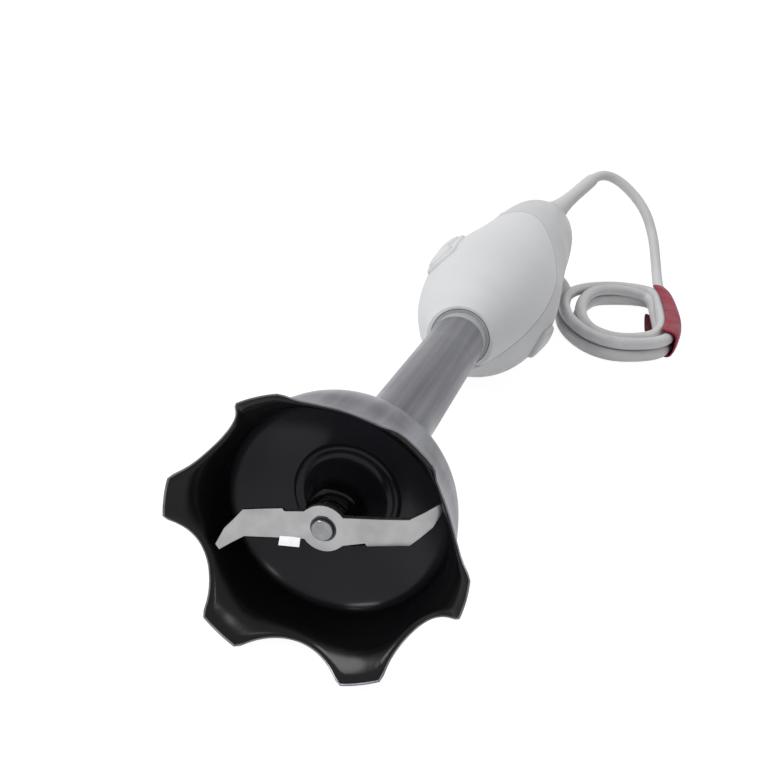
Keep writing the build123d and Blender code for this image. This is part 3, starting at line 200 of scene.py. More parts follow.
def sized_noise(group, millimetres, detail, distortion=0.0):
    """Noise in object coordinates whose features have a size from a socket."""
    scale = add(group, "Math", {0: 1 / MM}, {1: millimetres}, operation="DIVIDE")
    return add(group, "TexNoise", {"Detail": detail, "Distortion": distortion},
               {"Vector": object_place(group), "Scale": scale.outputs[0]}).outputs["Fac"]


def relief(group, mask, depth, distance, result):
    """Send out of a group a mask and the normal of the bumps that it makes."""
    bump = add(group, "Bump", {"Distance": distance}, {"Strength": depth, "Height": mask})
    link(group, mask, result["Mask"])
    link(group, bump.outputs["Normal"], result["Normal"])


def grain_group():
    """Fine even grain of moulded plastic or rubber: a mask and a normal."""
    group, given, result = node_group("Grain", (("Size", 0.4), ("Depth", 0.05)), MASK_AND_NORMAL)
    relief(group, sized_noise(group, given["Size"], 3.0), given["Depth"], 0.2 * MM, result)


def smudge_group():
    """Broad soft patches left by handling: a mask."""
    group, given, result = node_group("Smudges", (("Size", 20.0),), MASK)
    noise = sized_noise(group, given["Size"], 5.0, distortion=0.6)
    link(group, soft_step(group, noise, 0.35, 0.65), result["Mask"])


def brushed_group():
    """Fine lines along Y, as a drawn tube has: a mask and a normal."""
    group, given, result = node_group(
        "Drawn Lines", (("Fineness", 2500.0), ("Length", 12.0), ("Depth", 0.04)), MASK_AND_NORMAL)
    fine, along = given["Fineness"], given["Length"]
    scale = add(group, "CombineXYZ", (), {"X": fine, "Y": along, "Z": fine}).outputs["Vector"]
    stretched = add(group, "VectorMath", (), {0: object_place(group), 1: scale},
                    operation="MULTIPLY").outputs["Vector"]
    noise = add(group, "TexNoise", {"Scale": 1.0, "Detail": 4.0}, {"Vector": stretched})
    relief(group, noise.outputs["Fac"], given["Depth"], 0.1 * MM, result)


def effect(tree, name, **values):
    """Place a shared effect in a material with its own values."""
    return add(tree, "Group", values, node_tree=SHARED[name]).outputs


def shades(tree, mask, dark, light):
    """A colour that runs from dark to light with a mask."""
    ramp = add(tree, "ValToRGB", (), {"Fac": mask})
    for element, colour in zip(ramp.color_ramp.elements, (dark, light)):
        element.color = (*colour, 1)
    return ramp.outputs["Color"]


def between(tree, mask, low, high):
    """A value that runs from low to high with a mask."""
    return add(tree, "MapRange", {"To Min": low, "To Max": high}, {"Value": mask}).outputs["Result"]


def new_material(name):
    material = bpy.data.materials.new(name)
    material.use_nodes = True
    return material, material.node_tree, material.node_tree.nodes["Principled BSDF"]


def scaled(colour, factor):
    return tuple(channel * factor for channel in colour)


def dressed(tree, shader, colours, roughness, tone_mask, patches, normal):
    """Give a finish its colours, its roughness in broad patches and its fine relief."""
    link(tree, shades(tree, tone_mask, *colours), shader.inputs["Base Color"])
    link(tree, between(tree, patches, roughness * 0.85, roughness * 1.2),
         shader.inputs["Roughness"])
    link(tree, normal, shader.inputs["Normal"])


def plastic(name, colour, roughness, grain=0.5, depth=0.02, tone=0.06, smudge=22.0, gloss=0.5):
    """Moulded plastic or rubber: fine grain, slight tone changes and handled patches."""
    material, tree, shader = new_material(name)
    grains = effect(tree, "Grain", Size=grain, Depth=depth)
    patches = effect(tree, "Smudges", Size=smudge)["Mask"]
    dressed(tree, shader, (scaled(colour, 1 - tone), scaled(colour, 1 + tone / 2)), roughness,
            patches, patches, grains["Normal"])
    shader.inputs["Specular IOR Level"].default_value = gloss
    return material


def metal(name, colour, roughness, fineness=240.0, length=5.0, depth=0.01, tone=0.33):
    """Bare metal with fine lines and soft patches."""
    material, tree, shader = new_material(name)
    shader.inputs["Metallic"].default_value = 1.0
    lines = effect(tree, "Drawn Lines", Fineness=fineness, Length=length, Depth=depth)
    streaks = between(tree, lines["Mask"], -1.0, 2.0)  # more contrast than the mask has
    dressed(tree, shader, (scaled(colour, 1 - tone), scaled(colour, 1 + tone)), roughness,
            streaks, effect(tree, "Smudges", Size=30.0)["Mask"], lines["Normal"])
    return material


def liner_painted_sheen(colour):
    """Black plastic, darker on the petals as painted shade and paler in the bowl behind the blade as
    a painted sheen.
    """
    material = plastic("Black Liner Painted Sheen", colour, 0.21, grain=3.0, depth=0.004, gloss=0.19)
    tree = material.node_tree
    depth = add(tree, "SeparateXYZ", (), {"Vector": object_place(tree)}).outputs["Y"]
    crease = RIM_Y + CREASE_S
    # painted sheen: the bowl's colour is paler than the petals', which are painted darker as shade
    bowl = soft_step(tree, depth, crease - 1.2 * MM, crease + 1.8 * MM)
    link(tree, shades(tree, bowl, scaled(colour, 0.35), (0.021, 0.020, 0.026)),
         tree.nodes["Principled BSDF"].inputs["Base Color"])
    return material


# ---------------- mesh tools
SLIVER = 0.01 * MM


def smooth_value(points, place):
    """A smooth curve through (place, value) points, read at one place."""
    if place <= points[0][0]:
        return points[0][1]
    if place >= points[-1][0]:
        return points[-1][1]
    index = next(index for index in range(len(points) - 1) if place <= points[index + 1][0])
    (x0, y0), (x1, y1) = points[index], points[index + 1]
    before = points[max(index - 1, 0)]
    after = points[min(index + 2, len(points) - 1)]
    slope0 = (y1 - before[1]) / (x1 - before[0])
    slope1 = (after[1] - y0) / (after[0] - x0)
    span = x1 - x0
    t = (place - x0) / span
    return (
        (2 * t ** 3 - 3 * t ** 2 + 1) * y0 + (t ** 3 - 2 * t ** 2 + t) * span * slope0
        + (3 * t ** 2 - 2 * t ** 3) * y1 + (t ** 3 - t ** 2) * span * slope1
    )


def face_outwards(mesh):
    bmesh.ops.recalc_face_normals(mesh, faces=mesh.faces)


def spun(profile, steps):
    """A closed (s, radius) profile in metres, turned about the shaft line."""
    mesh = bmesh.new()
    verts = [mesh.verts.new((radius, RIM_Y + s, STEM_Z)) for s, radius in profile]
    edges = [mesh.edges.new(pair) for pair in zip(verts, verts[1:] + verts[:1])]
    bmesh.ops.spin(mesh, geom=verts + edges, cent=(0, 0, STEM_Z), axis=(0, 1, 0),
                   angle=tau, steps=steps, use_merge=True)
    bmesh.ops.remove_doubles(mesh, verts=mesh.verts, dist=WELD)
    face_outwards(mesh)
    return mesh


def carried(count, rings, place, closed=True):
    """A skin made by carrying a row of points from ring to ring, each put by place(index, ring)."""
    mesh = bmesh.new()
    order = mesh.verts.layers.int.new("order")
    row = [mesh.verts.new(place(index, rings[0])) for index in range(count)]
    for index, vert in enumerate(row):
        vert[order] = index
    edges = [mesh.edges.new(pair) for pair in zip(row, row[1:] + row[:1] if closed else row[1:])]
    for ring in rings[1:]:
        made = bmesh.ops.extrude_edge_only(mesh, edges=edges)["geom"]
        row = {item for item in made if isinstance(item, bmesh.types.BMVert)}
        edges = [item for item in made
                 if isinstance(item, bmesh.types.BMEdge) and row.issuperset(item.verts)]
        for vert in row:
            vert.co = place(vert[order], ring)
    bmesh.ops.remove_doubles(mesh, verts=mesh.verts, dist=WELD)
    if closed:
        bmesh.ops.holes_fill(mesh, edges=mesh.edges[:], sides=0)
    face_outwards(mesh)
    return mesh


def rounded(mesh):
    """Take the keenness off a steel part's hard edges."""
    hard = [edge for edge in mesh.edges
            if len(edge.link_faces) == 2 and edge.calc_face_angle(0) > radians(40)]
    bmesh.ops.bevel(mesh, geom=hard, offset=0.12 * MM, offset_type="OFFSET", affect="EDGES",
                    segments=2, profile=0.5, material=-1, clamp_overlap=True)


def thickened(mesh, thickness):
    """Give a thin sheet of faces its thickness."""
    bmesh.ops.solidify(mesh, geom=mesh.faces[:] + mesh.edges[:] + mesh.verts[:],
                       thickness=thickness)


def placed(name, data):
    """A new object in the scene."""
    made = bpy.data.objects.new(name, data)
    bpy.context.collection.objects.link(made)
    return made


def mesh_object(name, mesh):
    """Turn a bmesh into an object."""
    data = bpy.data.meshes.new(name)
    mesh.to_mesh(data)
    mesh.free()
    return placed(name, data)


def new_piece(name, mesh, body, slot, finish=None):
    """Turn a bmesh into a smooth piece on a body, with its slot's finish if no other is named."""
    for face in mesh.faces:
        face.smooth = True
    piece = mesh_object(name, mesh)
    piece.data.materials.append(FINISH[finish or slot])
    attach(piece, body)
    return piece


def keep_sharp(piece, angle=radians(35)):
    """Keep hard edges hard on a smooth-shaded piece."""
    piece.data.set_sharp_from_angle(angle=angle)


def soft_edges(piece, width):
    """Bevel the hard edges that a piece has after its other modifiers."""
    tuned(piece.modifiers.new("Edge", "BEVEL"), width=width, segments=2,
          limit_method="ANGLE", angle_limit=radians(50))


def finished(piece):
    """Apply a piece's modifiers, clear the slivers they leave and keep its hard edges hard."""
    result = bpy.data.meshes.new_from_object(
        piece.evaluated_get(bpy.context.evaluated_depsgraph_get()))
    rough = piece.data
    piece.modifiers.clear()
    piece.data = result
    bpy.data.meshes.remove(rough)
    result.name = piece.name
    mesh = bmesh.new()
    mesh.from_mesh(result)
    bmesh.ops.remove_doubles(mesh, verts=mesh.verts, dist=SLIVER)
    bmesh.ops.dissolve_degenerate(mesh, edges=mesh.edges, dist=SLIVER)
    bmesh.ops.triangulate(mesh, faces=[face for face in mesh.faces if len(face.verts) > 4])
    twins = {}
    for face in mesh.faces:
        twins.setdefault(frozenset(face.verts), []).append(face)
    flaps = [face for same in twins.values() for face in same
             if len(same) > 1 or sum(len(edge.link_faces) == 1 for edge in face.edges) > 1]
    bmesh.ops.delete(mesh, geom=flaps, context="FACES")
    mesh.to_mesh(result)
    mesh.free()
    keep_sharp(piece)


# ---------------- materials on the frame
class OBJECT_OT_finishes(bpy.types.Operator):
    """Make the materials and put them on the frame's own nodes"""

    bl_idname = "hand_blender.finishes"
    bl_label = "Finishes"

    def execute(self, context):
        colours = context.scene.blender_finishes
        shell, cord, tie = tuple(colours.shell), tuple(colours.cord), tuple(colours.tie)
        grain_group()
        smudge_group()
        brushed_group()
        fine = {"grain": 1.5, "depth": 0.01}
        tied = {"grain": 1.5, "depth": 0.005, "tone": 0.12}
        moulded = {"grain": 2.5, "depth": 0.006, "gloss": 0.4}
        FINISH.update({
            "brushed_steel": metal("Drawn Steel", tuple(colours.steel), 0.33),
            "bright_steel": metal(
                "Bright Steel", (0.27, 0.275, 0.29), 0.25, fineness=500, length=300, tone=0.12),
            "polished_steel": metal(
                "Polished Steel", (0.85, 0.86, 0.88), 0.16, fineness=300, length=300, tone=0.1),
            "blade_steel": metal(
                "Blade Steel", (0.39, 0.39, 0.395), 0.33, fineness=180, length=180, tone=0.12),
            "dull_steel": metal(
                "Laminations", (0.20, 0.20, 0.21), 0.45,
                fineness=20, length=1400, depth=0.3, tone=0.3),
            "dull_aluminium": metal(
                "Cast Aluminium", (0.42, 0.43, 0.44), 0.45, fineness=700, length=700, depth=0.2),
            "brass": metal("Brass", (0.60, 0.42, 0.18), 0.25, fineness=900, length=900),
            "bronze": metal(
                "Sintered Bronze", (0.42, 0.26, 0.13), 0.5, fineness=2600, length=2600, depth=0.3),
            "copper": metal(
                "Copper Wire", (0.55, 0.22, 0.09), 0.3,
                fineness=60, length=2200, depth=0.4, tone=0.3),
            "carbon": plastic("Carbon", (0.03, 0.03, 0.03), 0.6, grain=0.3, depth=0.3),
            "white_plastic": plastic("White Plastic", shell, 0.48, tone=0.03, **moulded),
            # a darker copy of the housing's white: painted shade for the rear shell, its release
            # buttons and screw wells on the shaded lower side
            "shade_plastic": plastic(
                "White Plastic Rear Painted Shade", scaled(shell, 0.87), 0.48, tone=0.04, **moulded),
            "grey_plastic": plastic("Grey Plastic", (0.42, 0.425, 0.44), 0.38, depth=0.06),
            "dark_plastic": plastic("Dark Plastic", (0.035, 0.035, 0.038), 0.4, depth=0.06),
            # the liner carries a painted sheen in its bowl and painted shade on its petals
            "black_plastic": liner_painted_sheen(tuple(colours.liner)),
            "yellow_plastic": plastic("Yellow Plastic", (0.55, 0.40, 0.05), 0.4),
            "green_board": plastic(
                "Board", (0.02, 0.14, 0.05), 0.4, grain=0.25, depth=0.15, tone=0.2),
            "black_rubber": plastic("Black Rubber", (0.02, 0.02, 0.02), 0.6, grain=0.4, depth=0.12),
            "white_rubber": plastic("White Rubber", cord, 0.5, tone=0.05, **fine),
            "white_cord": plastic("Cord Sheath", cord, 0.45, smudge=14.0, **fine),
            "red_tie": plastic("Red Tie", tie, 0.5, smudge=9.0, gloss=0.25, **tied),
            # the tie's red darkened for its end under the hank: painted shade
            "painted_shade_tie": plastic("Red Tie Painted Shade", scaled(tie, 0.28), 0.6, gloss=0.15, **tied),
        })
        slots = {entry["node"]: entry["material_slot"] for entry in frame["record"]["subparts"]}
        slots["socket_sleeve"] = "grey_plastic"  # its end shows as a pale ring in the nose
        for name, node in frame["nodes"].items():
            node.data.materials.clear()
            node.data.materials.append(FINISH[slots[name]])
        return {"FINISHED"}


# ---------------- stage
CAMERA_PLACE = (0.04089, -0.36181, 0.14171)
CAMERA_TURN = (66.831, -11.290, 16.522)  # degrees about X, Y and Z
CAMERA_LENS = 44.03
SENSOR_WIDTH = 36.0
LAMPS = (  # name, place, aim, size and power
    ("key", (-0.90, -0.60, 0.85), (0, 0, 0.02), 0.6, 7.5),
    ("overhead", (-0.22, 0.22, 0.95), (0, -0.17, 0.02), 0.22, 2.2),
    ("side", (0.56, -0.80, 0.82), (0, -0.18, 0.02), 0.20, 0.8),
)
WORLD_LIGHT = 0.41  # strength of the world's light on the object
WORLD_SEEN = 0.59  # added where the world is seen, so that it is pure white
FLOOR_GLOW = 1.18
FLOOR_GLOW_SHARE = 0.80  # the rest of the floor's look is lit and takes shadows
FLOOR_SIZE = 60.0
FLOOR_Z = -0.0003


def area_light(name, place, aim, across, power):
    data = bpy.data.lights.new(name, "AREA")
    light = placed(name, tuned(data, shape="DISK", size=across, energy=power))
    light.location = place
    light.rotation_euler = (Vector(aim) - Vector(place)).to_track_quat("-Z", "Y").to_euler()


def seen_share(tree, share):
    """A value that is share on camera, glossy and transmission rays, and 0 on all others."""
    rays = add(tree, "LightPath").outputs
    seen = rays["Is Camera Ray"]
    for name in ("Is Glossy Ray", "Is Transmission Ray"):
        seen = add(tree, "Math", (), {0: seen, 1: rays[name]}, operation="MAXIMUM").outputs[0]
    return add(tree, "Math", {1: share}, {0: seen}, operation="MULTIPLY").outputs[0]


def floor_material():
    """Pale floor that reads as white where nothing shades it."""
    material, tree, shader = new_material("Floor")
    shader.inputs["Base Color"].default_value = (0.84, 0.845, 0.855, 1)
    shader.inputs["Roughness"].default_value = 0.8
    shader.inputs["Specular IOR Level"].default_value = 0.2
    glow = add(tree, "Emission", {"Color": (1, 1, 1, 1), "Strength": FLOOR_GLOW})
    blend = add(tree, "MixShader", (), {
        "Fac": seen_share(tree, FLOOR_GLOW_SHARE),
        1: shader.outputs["BSDF"], 2: glow.outputs["Emission"]})
    link(tree, blend.outputs["Shader"], tree.nodes["Material Output"].inputs["Surface"])
    return material


class OBJECT_OT_stage(bpy.types.Operator):
    """Make the floor, the lamps, the world and the camera"""

    bl_idname = "hand_blender.stage"
    bl_label = "Stage"

    def execute(self, context):
        scene = context.scene
        scene.view_settings.view_transform = "Standard"
        scene.world = bpy.data.worlds.new("Studio")
        scene.world.use_nodes = True
        tree = scene.world.node_tree
        background = tree.nodes["Background"]
        background.inputs["Color"].default_value = (1.0, 1.0, 1.0, 1)
        strength = add(tree, "Math", {1: WORLD_LIGHT}, {0: seen_share(tree, WORLD_SEEN)},
                       operation="ADD")
        link(tree, strength.outputs[0], background.inputs["Strength"])

        mesh = bmesh.new()
        bmesh.ops.create_grid(mesh, x_segments=1, y_segments=1, size=FLOOR_SIZE)
        floor = mesh_object("floor", mesh)
        floor.location.z = FLOOR_Z
        floor.data.materials.append(floor_material())
        for lamp in LAMPS:
            area_light(*lamp)

        view = placed("camera", tuned(
            bpy.data.cameras.new("camera"), sensor_fit="HORIZONTAL",
            sensor_width=SENSOR_WIDTH, lens=CAMERA_LENS, clip_start=0.01))
        view.location = CAMERA_PLACE
        view.rotation_euler = [radians(turn) for turn in CAMERA_TURN]
        scene.camera = view
        return {"FINISHED"}


# ---------------- blade guard
GUARD_CURVE = [  # s and radius less the rim's radius, millimetres
    (0, 0), (3.4, -2.9), (7.5, -4.8), (12.5, -5.8), (18, -6.4), (24.5, -7.8), (30.5, -10.6),
    (35.5, -14.3), (39.5, -18.3), (43.5, -21.0), (48, -23.2), (54, -24.0),
]
BOSS = [  # s and radius of the bush's boss and the ring round it, from the hidden side, mm
    (29.0, 11.0), (29.0, 4.6), (13.0, 4.6), (13.0, 6.2), (13.4, 6.6), (16.0, 6.7), (19.0, 7.3),
    (23.0, 8.9), (24.3, 9.9), (24.7, 10.9), (24.5, 11.5), (24.1, 12.0), (24.1, 12.6), (24.7, 13.1),
]
BOWL_END_S = 27.0 * MM
BOWL_WALL = 1.8 * MM
BOWL_STEPS = 12  # rings from the shaft line to the bowl's brim
BOWL_INNER_STEP = 6  # the first ring outside the boss
LINER_GAP = 0.05 * MM
ROW_STEP = 1.5  # millimetres between the guard's rows of points
GUARD_ROWS = 37
LINER_ROWS = 13  # they end at the crease
GUARD_STEPS = 180
RIM_SHARE = 0.45  # of the steel's wall is left at the very rim
RIM_ROLL = 5 * MM  # how far from the rim the steel is thinned


def guard_radius(s, inset):
    """Radius of the guard at s, shrunk by inset."""
    sizes = bpy.context.scene.blender_guard
    return sizes.rim_radius + smooth_value(GUARD_CURVE, s / MM) * MM - inset


def edge_wall(s):
    """Thickness of the steel, rolled thin towards the rim."""
    sizes = bpy.context.scene.blender_guard
    return sizes.wall * (RIM_SHARE + (1 - RIM_SHARE) * min(s / RIM_ROLL, 1.0))


def scallop(angle, reach):
    """How far the rim is cut back at an angle round the guard."""
    sizes = bpy.context.scene.blender_guard
    half_width = sizes.rim_radius * sin(pi / LOBES - sizes.lobe_half_angle)
    radius = (half_width ** 2 + sizes.scallop_depth ** 2) / (2 * sizes.scallop_depth)
    from_notch = (angle % (tau / LOBES)) - pi / LOBES
    across = abs(reach * sin(from_notch))
    if across > half_width:
        return 0.0
    depth = sqrt(radius ** 2 - across ** 2) - (radius - sizes.scallop_depth)
    soft = 0.35 * MM                 # rounds the lobe's corners
    return sqrt(depth ** 2 + soft ** 2) - soft


def shape_lobes(mesh):
    """Pull the rim back between the lobes and swell each lobe a little."""
    sizes = bpy.context.scene.blender_guard
    for vert in mesh.verts:
        s = vert.co.y - RIM_Y
        if s >= CREASE_S:
            continue
        x, z = vert.co.x, vert.co.z - STEM_Z
        angle, radius = atan2(z, x), sqrt(x * x + z * z)
        cut = scallop(angle, radius)
        moved = cut + s * (1 - cut / CREASE_S)
        swell = sizes.petal * cos(LOBES * angle) * sin(pi * moved / CREASE_S)
        change = smooth_value(GUARD_CURVE, moved / MM) - smooth_value(GUARD_CURVE, s / MM)
        grown = (radius + change * MM + swell) / radius
        vert.co.x = x * grown
        vert.co.z = STEM_Z + z * grown
        vert.co.y = RIM_Y + moved


class OBJECT_OT_guard(bpy.types.Operator):
    """Make the drawn steel guard and its black liner"""

    bl_idname = "hand_blender.guard"
    bl_label = "Blade Guard"

    def execute(self, context):
        sizes = context.scene.blender_guard
        rows = [index * ROW_STEP * MM for index in range(GUARD_ROWS)]
        outer = [(s, guard_radius(s, 0)) for s in rows]
        inner = [(s, guard_radius(s, edge_wall(s))) for s in reversed(rows)]
        mesh = spun(outer + inner, GUARD_STEPS)
        shape_lobes(mesh)
        steel = new_piece("guard_steel", mesh, "stem", "brushed_steel")
        keep_sharp(steel)
        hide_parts("bell_shell")

        rows = rows[:LINER_ROWS]
        outer = [(s, guard_radius(s, edge_wall(s) + LINER_GAP)) for s in rows]
        inside = [(s, guard_radius(s, edge_wall(s) + LINER_GAP
                                   + sizes.liner_wall * (0.5 + 0.5 * s / CREASE_S)))
                  for s in reversed(rows)]
        depth = BOWL_END_S - CREASE_S
        brim = inside[0][1]
        curve = (brim ** 2 + depth ** 2) / (2 * depth)
        bowl = [(BOWL_END_S - curve + sqrt(curve ** 2 - radius ** 2), radius)
                for radius in (brim * step / BOWL_STEPS
                               for step in range(BOWL_INNER_STEP, BOWL_STEPS))]
        back = [(s + BOWL_WALL, radius) for s, radius in reversed(bowl)]
        boss = [(s * MM, radius * MM) for s, radius in BOSS]
        mesh = spun(outer + back + boss + bowl + inside, GUARD_STEPS)
        for vert in mesh.verts:  # the liner's edge lies inside the steel's
            if vert.co.y - RIM_Y < 0.01 * MM:
                vert.co.y = RIM_Y + sizes.rim_lip
        shape_lobes(mesh)
        liner = new_piece("guard_liner", mesh, "stem", "black_plastic")
        keep_sharp(liner, radians(62))
        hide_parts("bell_liner")
        return {"FINISHED"}


# ---------------- blade
ARM = {  # corners of one arm from the hub's middle, X and Z, millimetres
    "root_low": (5.1, -2.6), "notch": (9.7, -0.6), "edge_start": (10.2, -1.2),
    "edge_inner_start": (10.7, 0.9), "edge_inner_end": (18.4, 3.7), "edge_end": (19.3, 2.4),
    "fold_low": (20.8, 5.0), "fold_high": (17.8, 8.7), "shoulder": (11.9, 6.7),
    "root_high": (3.8, 4.1), "bend_low": (22.9, 8.2), "bend_high": (20.4, 11.0),
    "tip_low": (24.2, 12.3), "tip_high": (23.1, 13.4),
}
ARM_FACES = (  # the ground edge and the two lengths of the bent tip
    ("edge_start", "edge_end", "edge_inner_end", "edge_inner_start"),
    ("fold_low", "bend_low", "bend_high", "fold_high"),
    ("bend_low", "tip_low", "tip_high", "bend_high"),
)
ARM_OUTLINE = (
    "root_low", "notch", "edge_start", "edge_inner_start", "edge_inner_end", "edge_end",
    "fold_low", "fold_high", "shoulder", "root_high",
)
HUB_STEPS = 10  # round the hub from one arm to the other
TAB_CORNERS = (  # X, height over the shaft line and depth behind the shaft's front, millimetres
    (-9.4, -5.3, 0.3), (-4.6, -4.0, 0.3), (-4.4, -6.4, 0.1), (-9.3, -7.7, 0.1),
)
TAB_THICKNESS = 0.5 * MM
RIVET_SHADE_RING = (  # depth behind the shaft's front and radius of the dark ring round the rivet, millimetres; the ring is a painted shadow
    (-0.02, 2.5), (-0.10, 2.6), (-0.10, 2.95), (-0.02, 3.05), (0.1, 2.8),
)


def blade_mesh():
    """The flat blade with sharpened edges and bent tips."""
    sizes = bpy.context.scene.blender_blade
    mesh = bmesh.new()
    arms = []
    for turned in (0, pi):
        turn = Matrix.Rotation(-turned, 3, "Y")
        corner = {name: mesh.verts.new(turn @ Vector((x * MM, 0, z * MM)))
                  for name, (x, z) in ARM.items()}
        for names in ARM_FACES:
            mesh.faces.new([corner[name] for name in names])
        arms.append(corner)
    outline = []
    for corner, other in zip(arms, reversed(arms)):
        outline += [corner[name] for name in ARM_OUTLINE]
        start = atan2(corner["root_high"].co.z, corner["root_high"].co.x)
        end = atan2(other["root_low"].co.z, other["root_low"].co.x)
        for step in range(1, HUB_STEPS):
            angle = start + (end - start) % tau * step / HUB_STEPS
            outline.append(mesh.verts.new(
                (sizes.hub_radius * cos(angle), 0, sizes.hub_radius * sin(angle))))
    mesh.faces.new(outline)
    for corner, side in zip(arms, (1, -1)):
        tip = [corner["tip_low"], corner["tip_high"]]
        for first, second, verts in (
            ("fold_low", "fold_high", [corner["bend_low"], corner["bend_high"], *tip]),
            ("bend_low", "bend_high", tip),
        ):
            origin = corner[first].co.copy()
            turn = Matrix.Rotation(side * sizes.bend / 2, 3, corner[second].co - origin)
            bmesh.ops.rotate(mesh, verts=verts, cent=origin, matrix=turn)
    ground = [corner[name].co.copy() for corner in arms for name in ("edge_start", "edge_end")]
    face_outwards(mesh)
    thickened(mesh, sizes.thickness)
    mean = sum(vert.co.y for vert in mesh.verts) / len(mesh.verts)
    for vert in mesh.verts:  # grind the cutting edges from the front
        near = any((vert.co - place).length < sizes.thickness * 1.3 for place in ground)
        if near and vert.co.y < mean:
            vert.co.y += sizes.thickness * 0.45
    middle = SHAFT_FRONT + sizes.thickness / 2
    bmesh.ops.translate(mesh, verts=mesh.verts, vec=(0, middle - mean, STEM_Z))
    face_outwards(mesh)
    rounded(mesh)
    return mesh


def tab_mesh():
    """The bright ground tab at the edge of one arm."""
    mesh = bmesh.new()
    mesh.faces.new([mesh.verts.new((x * MM, SHAFT_FRONT + back * MM, STEM_Z + z * MM))
                    for x, z, back in TAB_CORNERS])
    mesh.normal_update()
    thickened(mesh, TAB_THICKNESS)
    face_outwards(mesh)
    rounded(mesh)
    return mesh


class OBJECT_OT_blade(bpy.types.Operator):
    """Make the two-armed blade, its ground tab and the dark ring of painted shadow round its rivet"""

    bl_idname = "hand_blender.blade"
    bl_label = "Blade"

    def execute(self, context):
        blade = new_piece("blade_two_arm", blade_mesh(), "blade_unit", "blade_steel")
        keep_sharp(blade, radians(30))
        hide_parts("blade")

        tab = new_piece("blade_tab", tab_mesh(), "blade_unit", "bright_steel", "polished_steel")
        keep_sharp(tab, radians(30))

        # a thin dark ring on the blade's face round the rivet: painted shadow
        shade_ring = [(SHAFT_FRONT - RIM_Y + back * MM, radius * MM) for back, radius in RIVET_SHADE_RING]
        ring = new_piece("rivet_shade_ring", spun(shade_ring, 64), "blade_unit", "dark_plastic")
        keep_sharp(ring)
        return {"FINISHED"}


# ---------------- motor unit
HOUSING_FORM = [  # s, radius and how far the middle lies below the shaft line, millimetres
    (157, 12.4, 0.53), (165, 15.0, 1.58), (180, 20.3, 2.63), (200, 25.6, 3.33), (225, 28.6, 3.5),
    (250, 27.9, 3.5), (280, 26.0, 3.5), (315, 24.3, 3.5), (350, 23.0, 3.5), (380, 20.8, 3.5),
    (390, 17.8, 3.5), (396, 13.8, 3.5), (400, 7.5, 3.5),
]
HOUSING_RADIUS = [(s, radius) for s, radius, _ in HOUSING_FORM]
HOUSING_DROP = [(s, drop) for s, _, drop in HOUSING_FORM]
HOUSING_STEPS = 128
HOUSING_ROWS = 80
SOCKET_RADIUS = 10.95 * MM
SEAM_ANGLE = radians(105)  # up from the seam, in a section across the housing
SEAM_SLOPE = 0.2
SEAM_START = 193.0 * MM
WIDEST_S = 225.0 * MM
RELEASE_ANGLES = (radians(-15), radians(225))
BUTTON_ANGLE = radians(146)
SLOT_STEPS = 64
OPENING_REACH = (14 * MM, 40 * MM)  # from the housing's middle to beyond its skin
CAP_BASE = -2.4 * MM  # a button's underside, from the skin
CAP_CROWN = 0.4 * MM
SCREW_S = 268.0 * MM
SCREW_ACROSS = 16.0 * MM
SCREW_SEAT = 6.0 * MM  # height of the screw heads' seats over the housing's middle
WELL_RADIUS = 2.9 * MM
WELL_STEPS = 48
WELL_SINK = 0.8 * MM  # its outer edge, below the skin
WELL_CUT = ((WELL_RADIUS, -40 * MM), (WELL_RADIUS, -8 * MM))
WELL_WALL = (  # radius and height of the wall round a screw; no height means at the skin
    (4.2 * MM, None), (4.2 * MM, SCREW_SEAT + 2 * MM), (1.5 * MM, SCREW_SEAT + 2 * MM),
    (1.5 * MM, SCREW_SEAT), (WELL_RADIUS, SCREW_SEAT), (WELL_RADIUS, None), (4.2 * MM, None),
)


def body_at(s):
    """Radius and height of the housing's middle at s."""
    drop = smooth_value(HOUSING_DROP, s / MM) * MM
    return smooth_value(HOUSING_RADIUS, s / MM) * MM, STEM_Z - drop


def outwards(angle):
    """Directions outwards and sideways at an angle round the housing."""
    return Vector((cos(angle), 0, sin(angle))), Vector((-sin(angle), 0, cos(angle)))


def on_body(angle, s, across, height):
    """A point at this height over the housing's skin, across from the line at an angle."""
    radius, middle = body_at(s)
    out, side = outwards(angle)
    reach = sqrt((radius + height) ** 2 - across ** 2)
    return Vector((0, RIM_Y + s, middle)) + side * across + out * reach


def housing_skin():
    """The motor unit's whole outer skin, open at the socket."""
    start, end = HOUSING_FORM[0][0] * MM, HOUSING_FORM[-1][0] * MM
    # s and radius of each ring; no radius means the housing's own
    rings = [(start, SOCKET_RADIUS), (start, SOCKET_RADIUS + 0.9 * MM), (start + 0.2 * MM, None)]
    rings += [(start + (end - 4 * MM - start) * step / HOUSING_ROWS, None)
              for step in range(1, HOUSING_ROWS + 1)]
    # the far end, rounded and closed
    rings += [(end - 2.6 * MM, None), (end - 1.4 * MM, None), (end - 0.6 * MM, None),
              (end - 0.15 * MM, 8.0 * MM), (end, 6.6 * MM), (end, 3.0 * MM), (end, 0.0)]

    def place(index, ring):
        s, radius = ring
        angle = tau * index / HOUSING_STEPS
        skin, middle = body_at(s)
        radius = skin if radius is None else radius
        if s == start and radius < skin:
            middle = STEM_Z - 0.5 * MM * (radius - SOCKET_RADIUS) / (skin - SOCKET_RADIUS)
        return Vector((radius * cos(angle), RIM_Y + s, middle + radius * sin(angle)))

    mesh = carried(HOUSING_STEPS, rings, place)
    socket = [face for face in mesh.faces if len(face.verts) > 8]
    bmesh.ops.delete(mesh, geom=socket, context="FACES")
    face_outwards(mesh)
    return mesh


def slot_point(index, length, width, inset):
    """A point round a round-ended slot's outline: along it and across it."""
    radius = width / 2 - inset
    straight = (length - width) / 2
    turn = tau * (index + 0.5) / SLOT_STEPS
    return radius * cos(turn) + (straight if cos(turn) > 0 else -straight), radius * sin(turn)


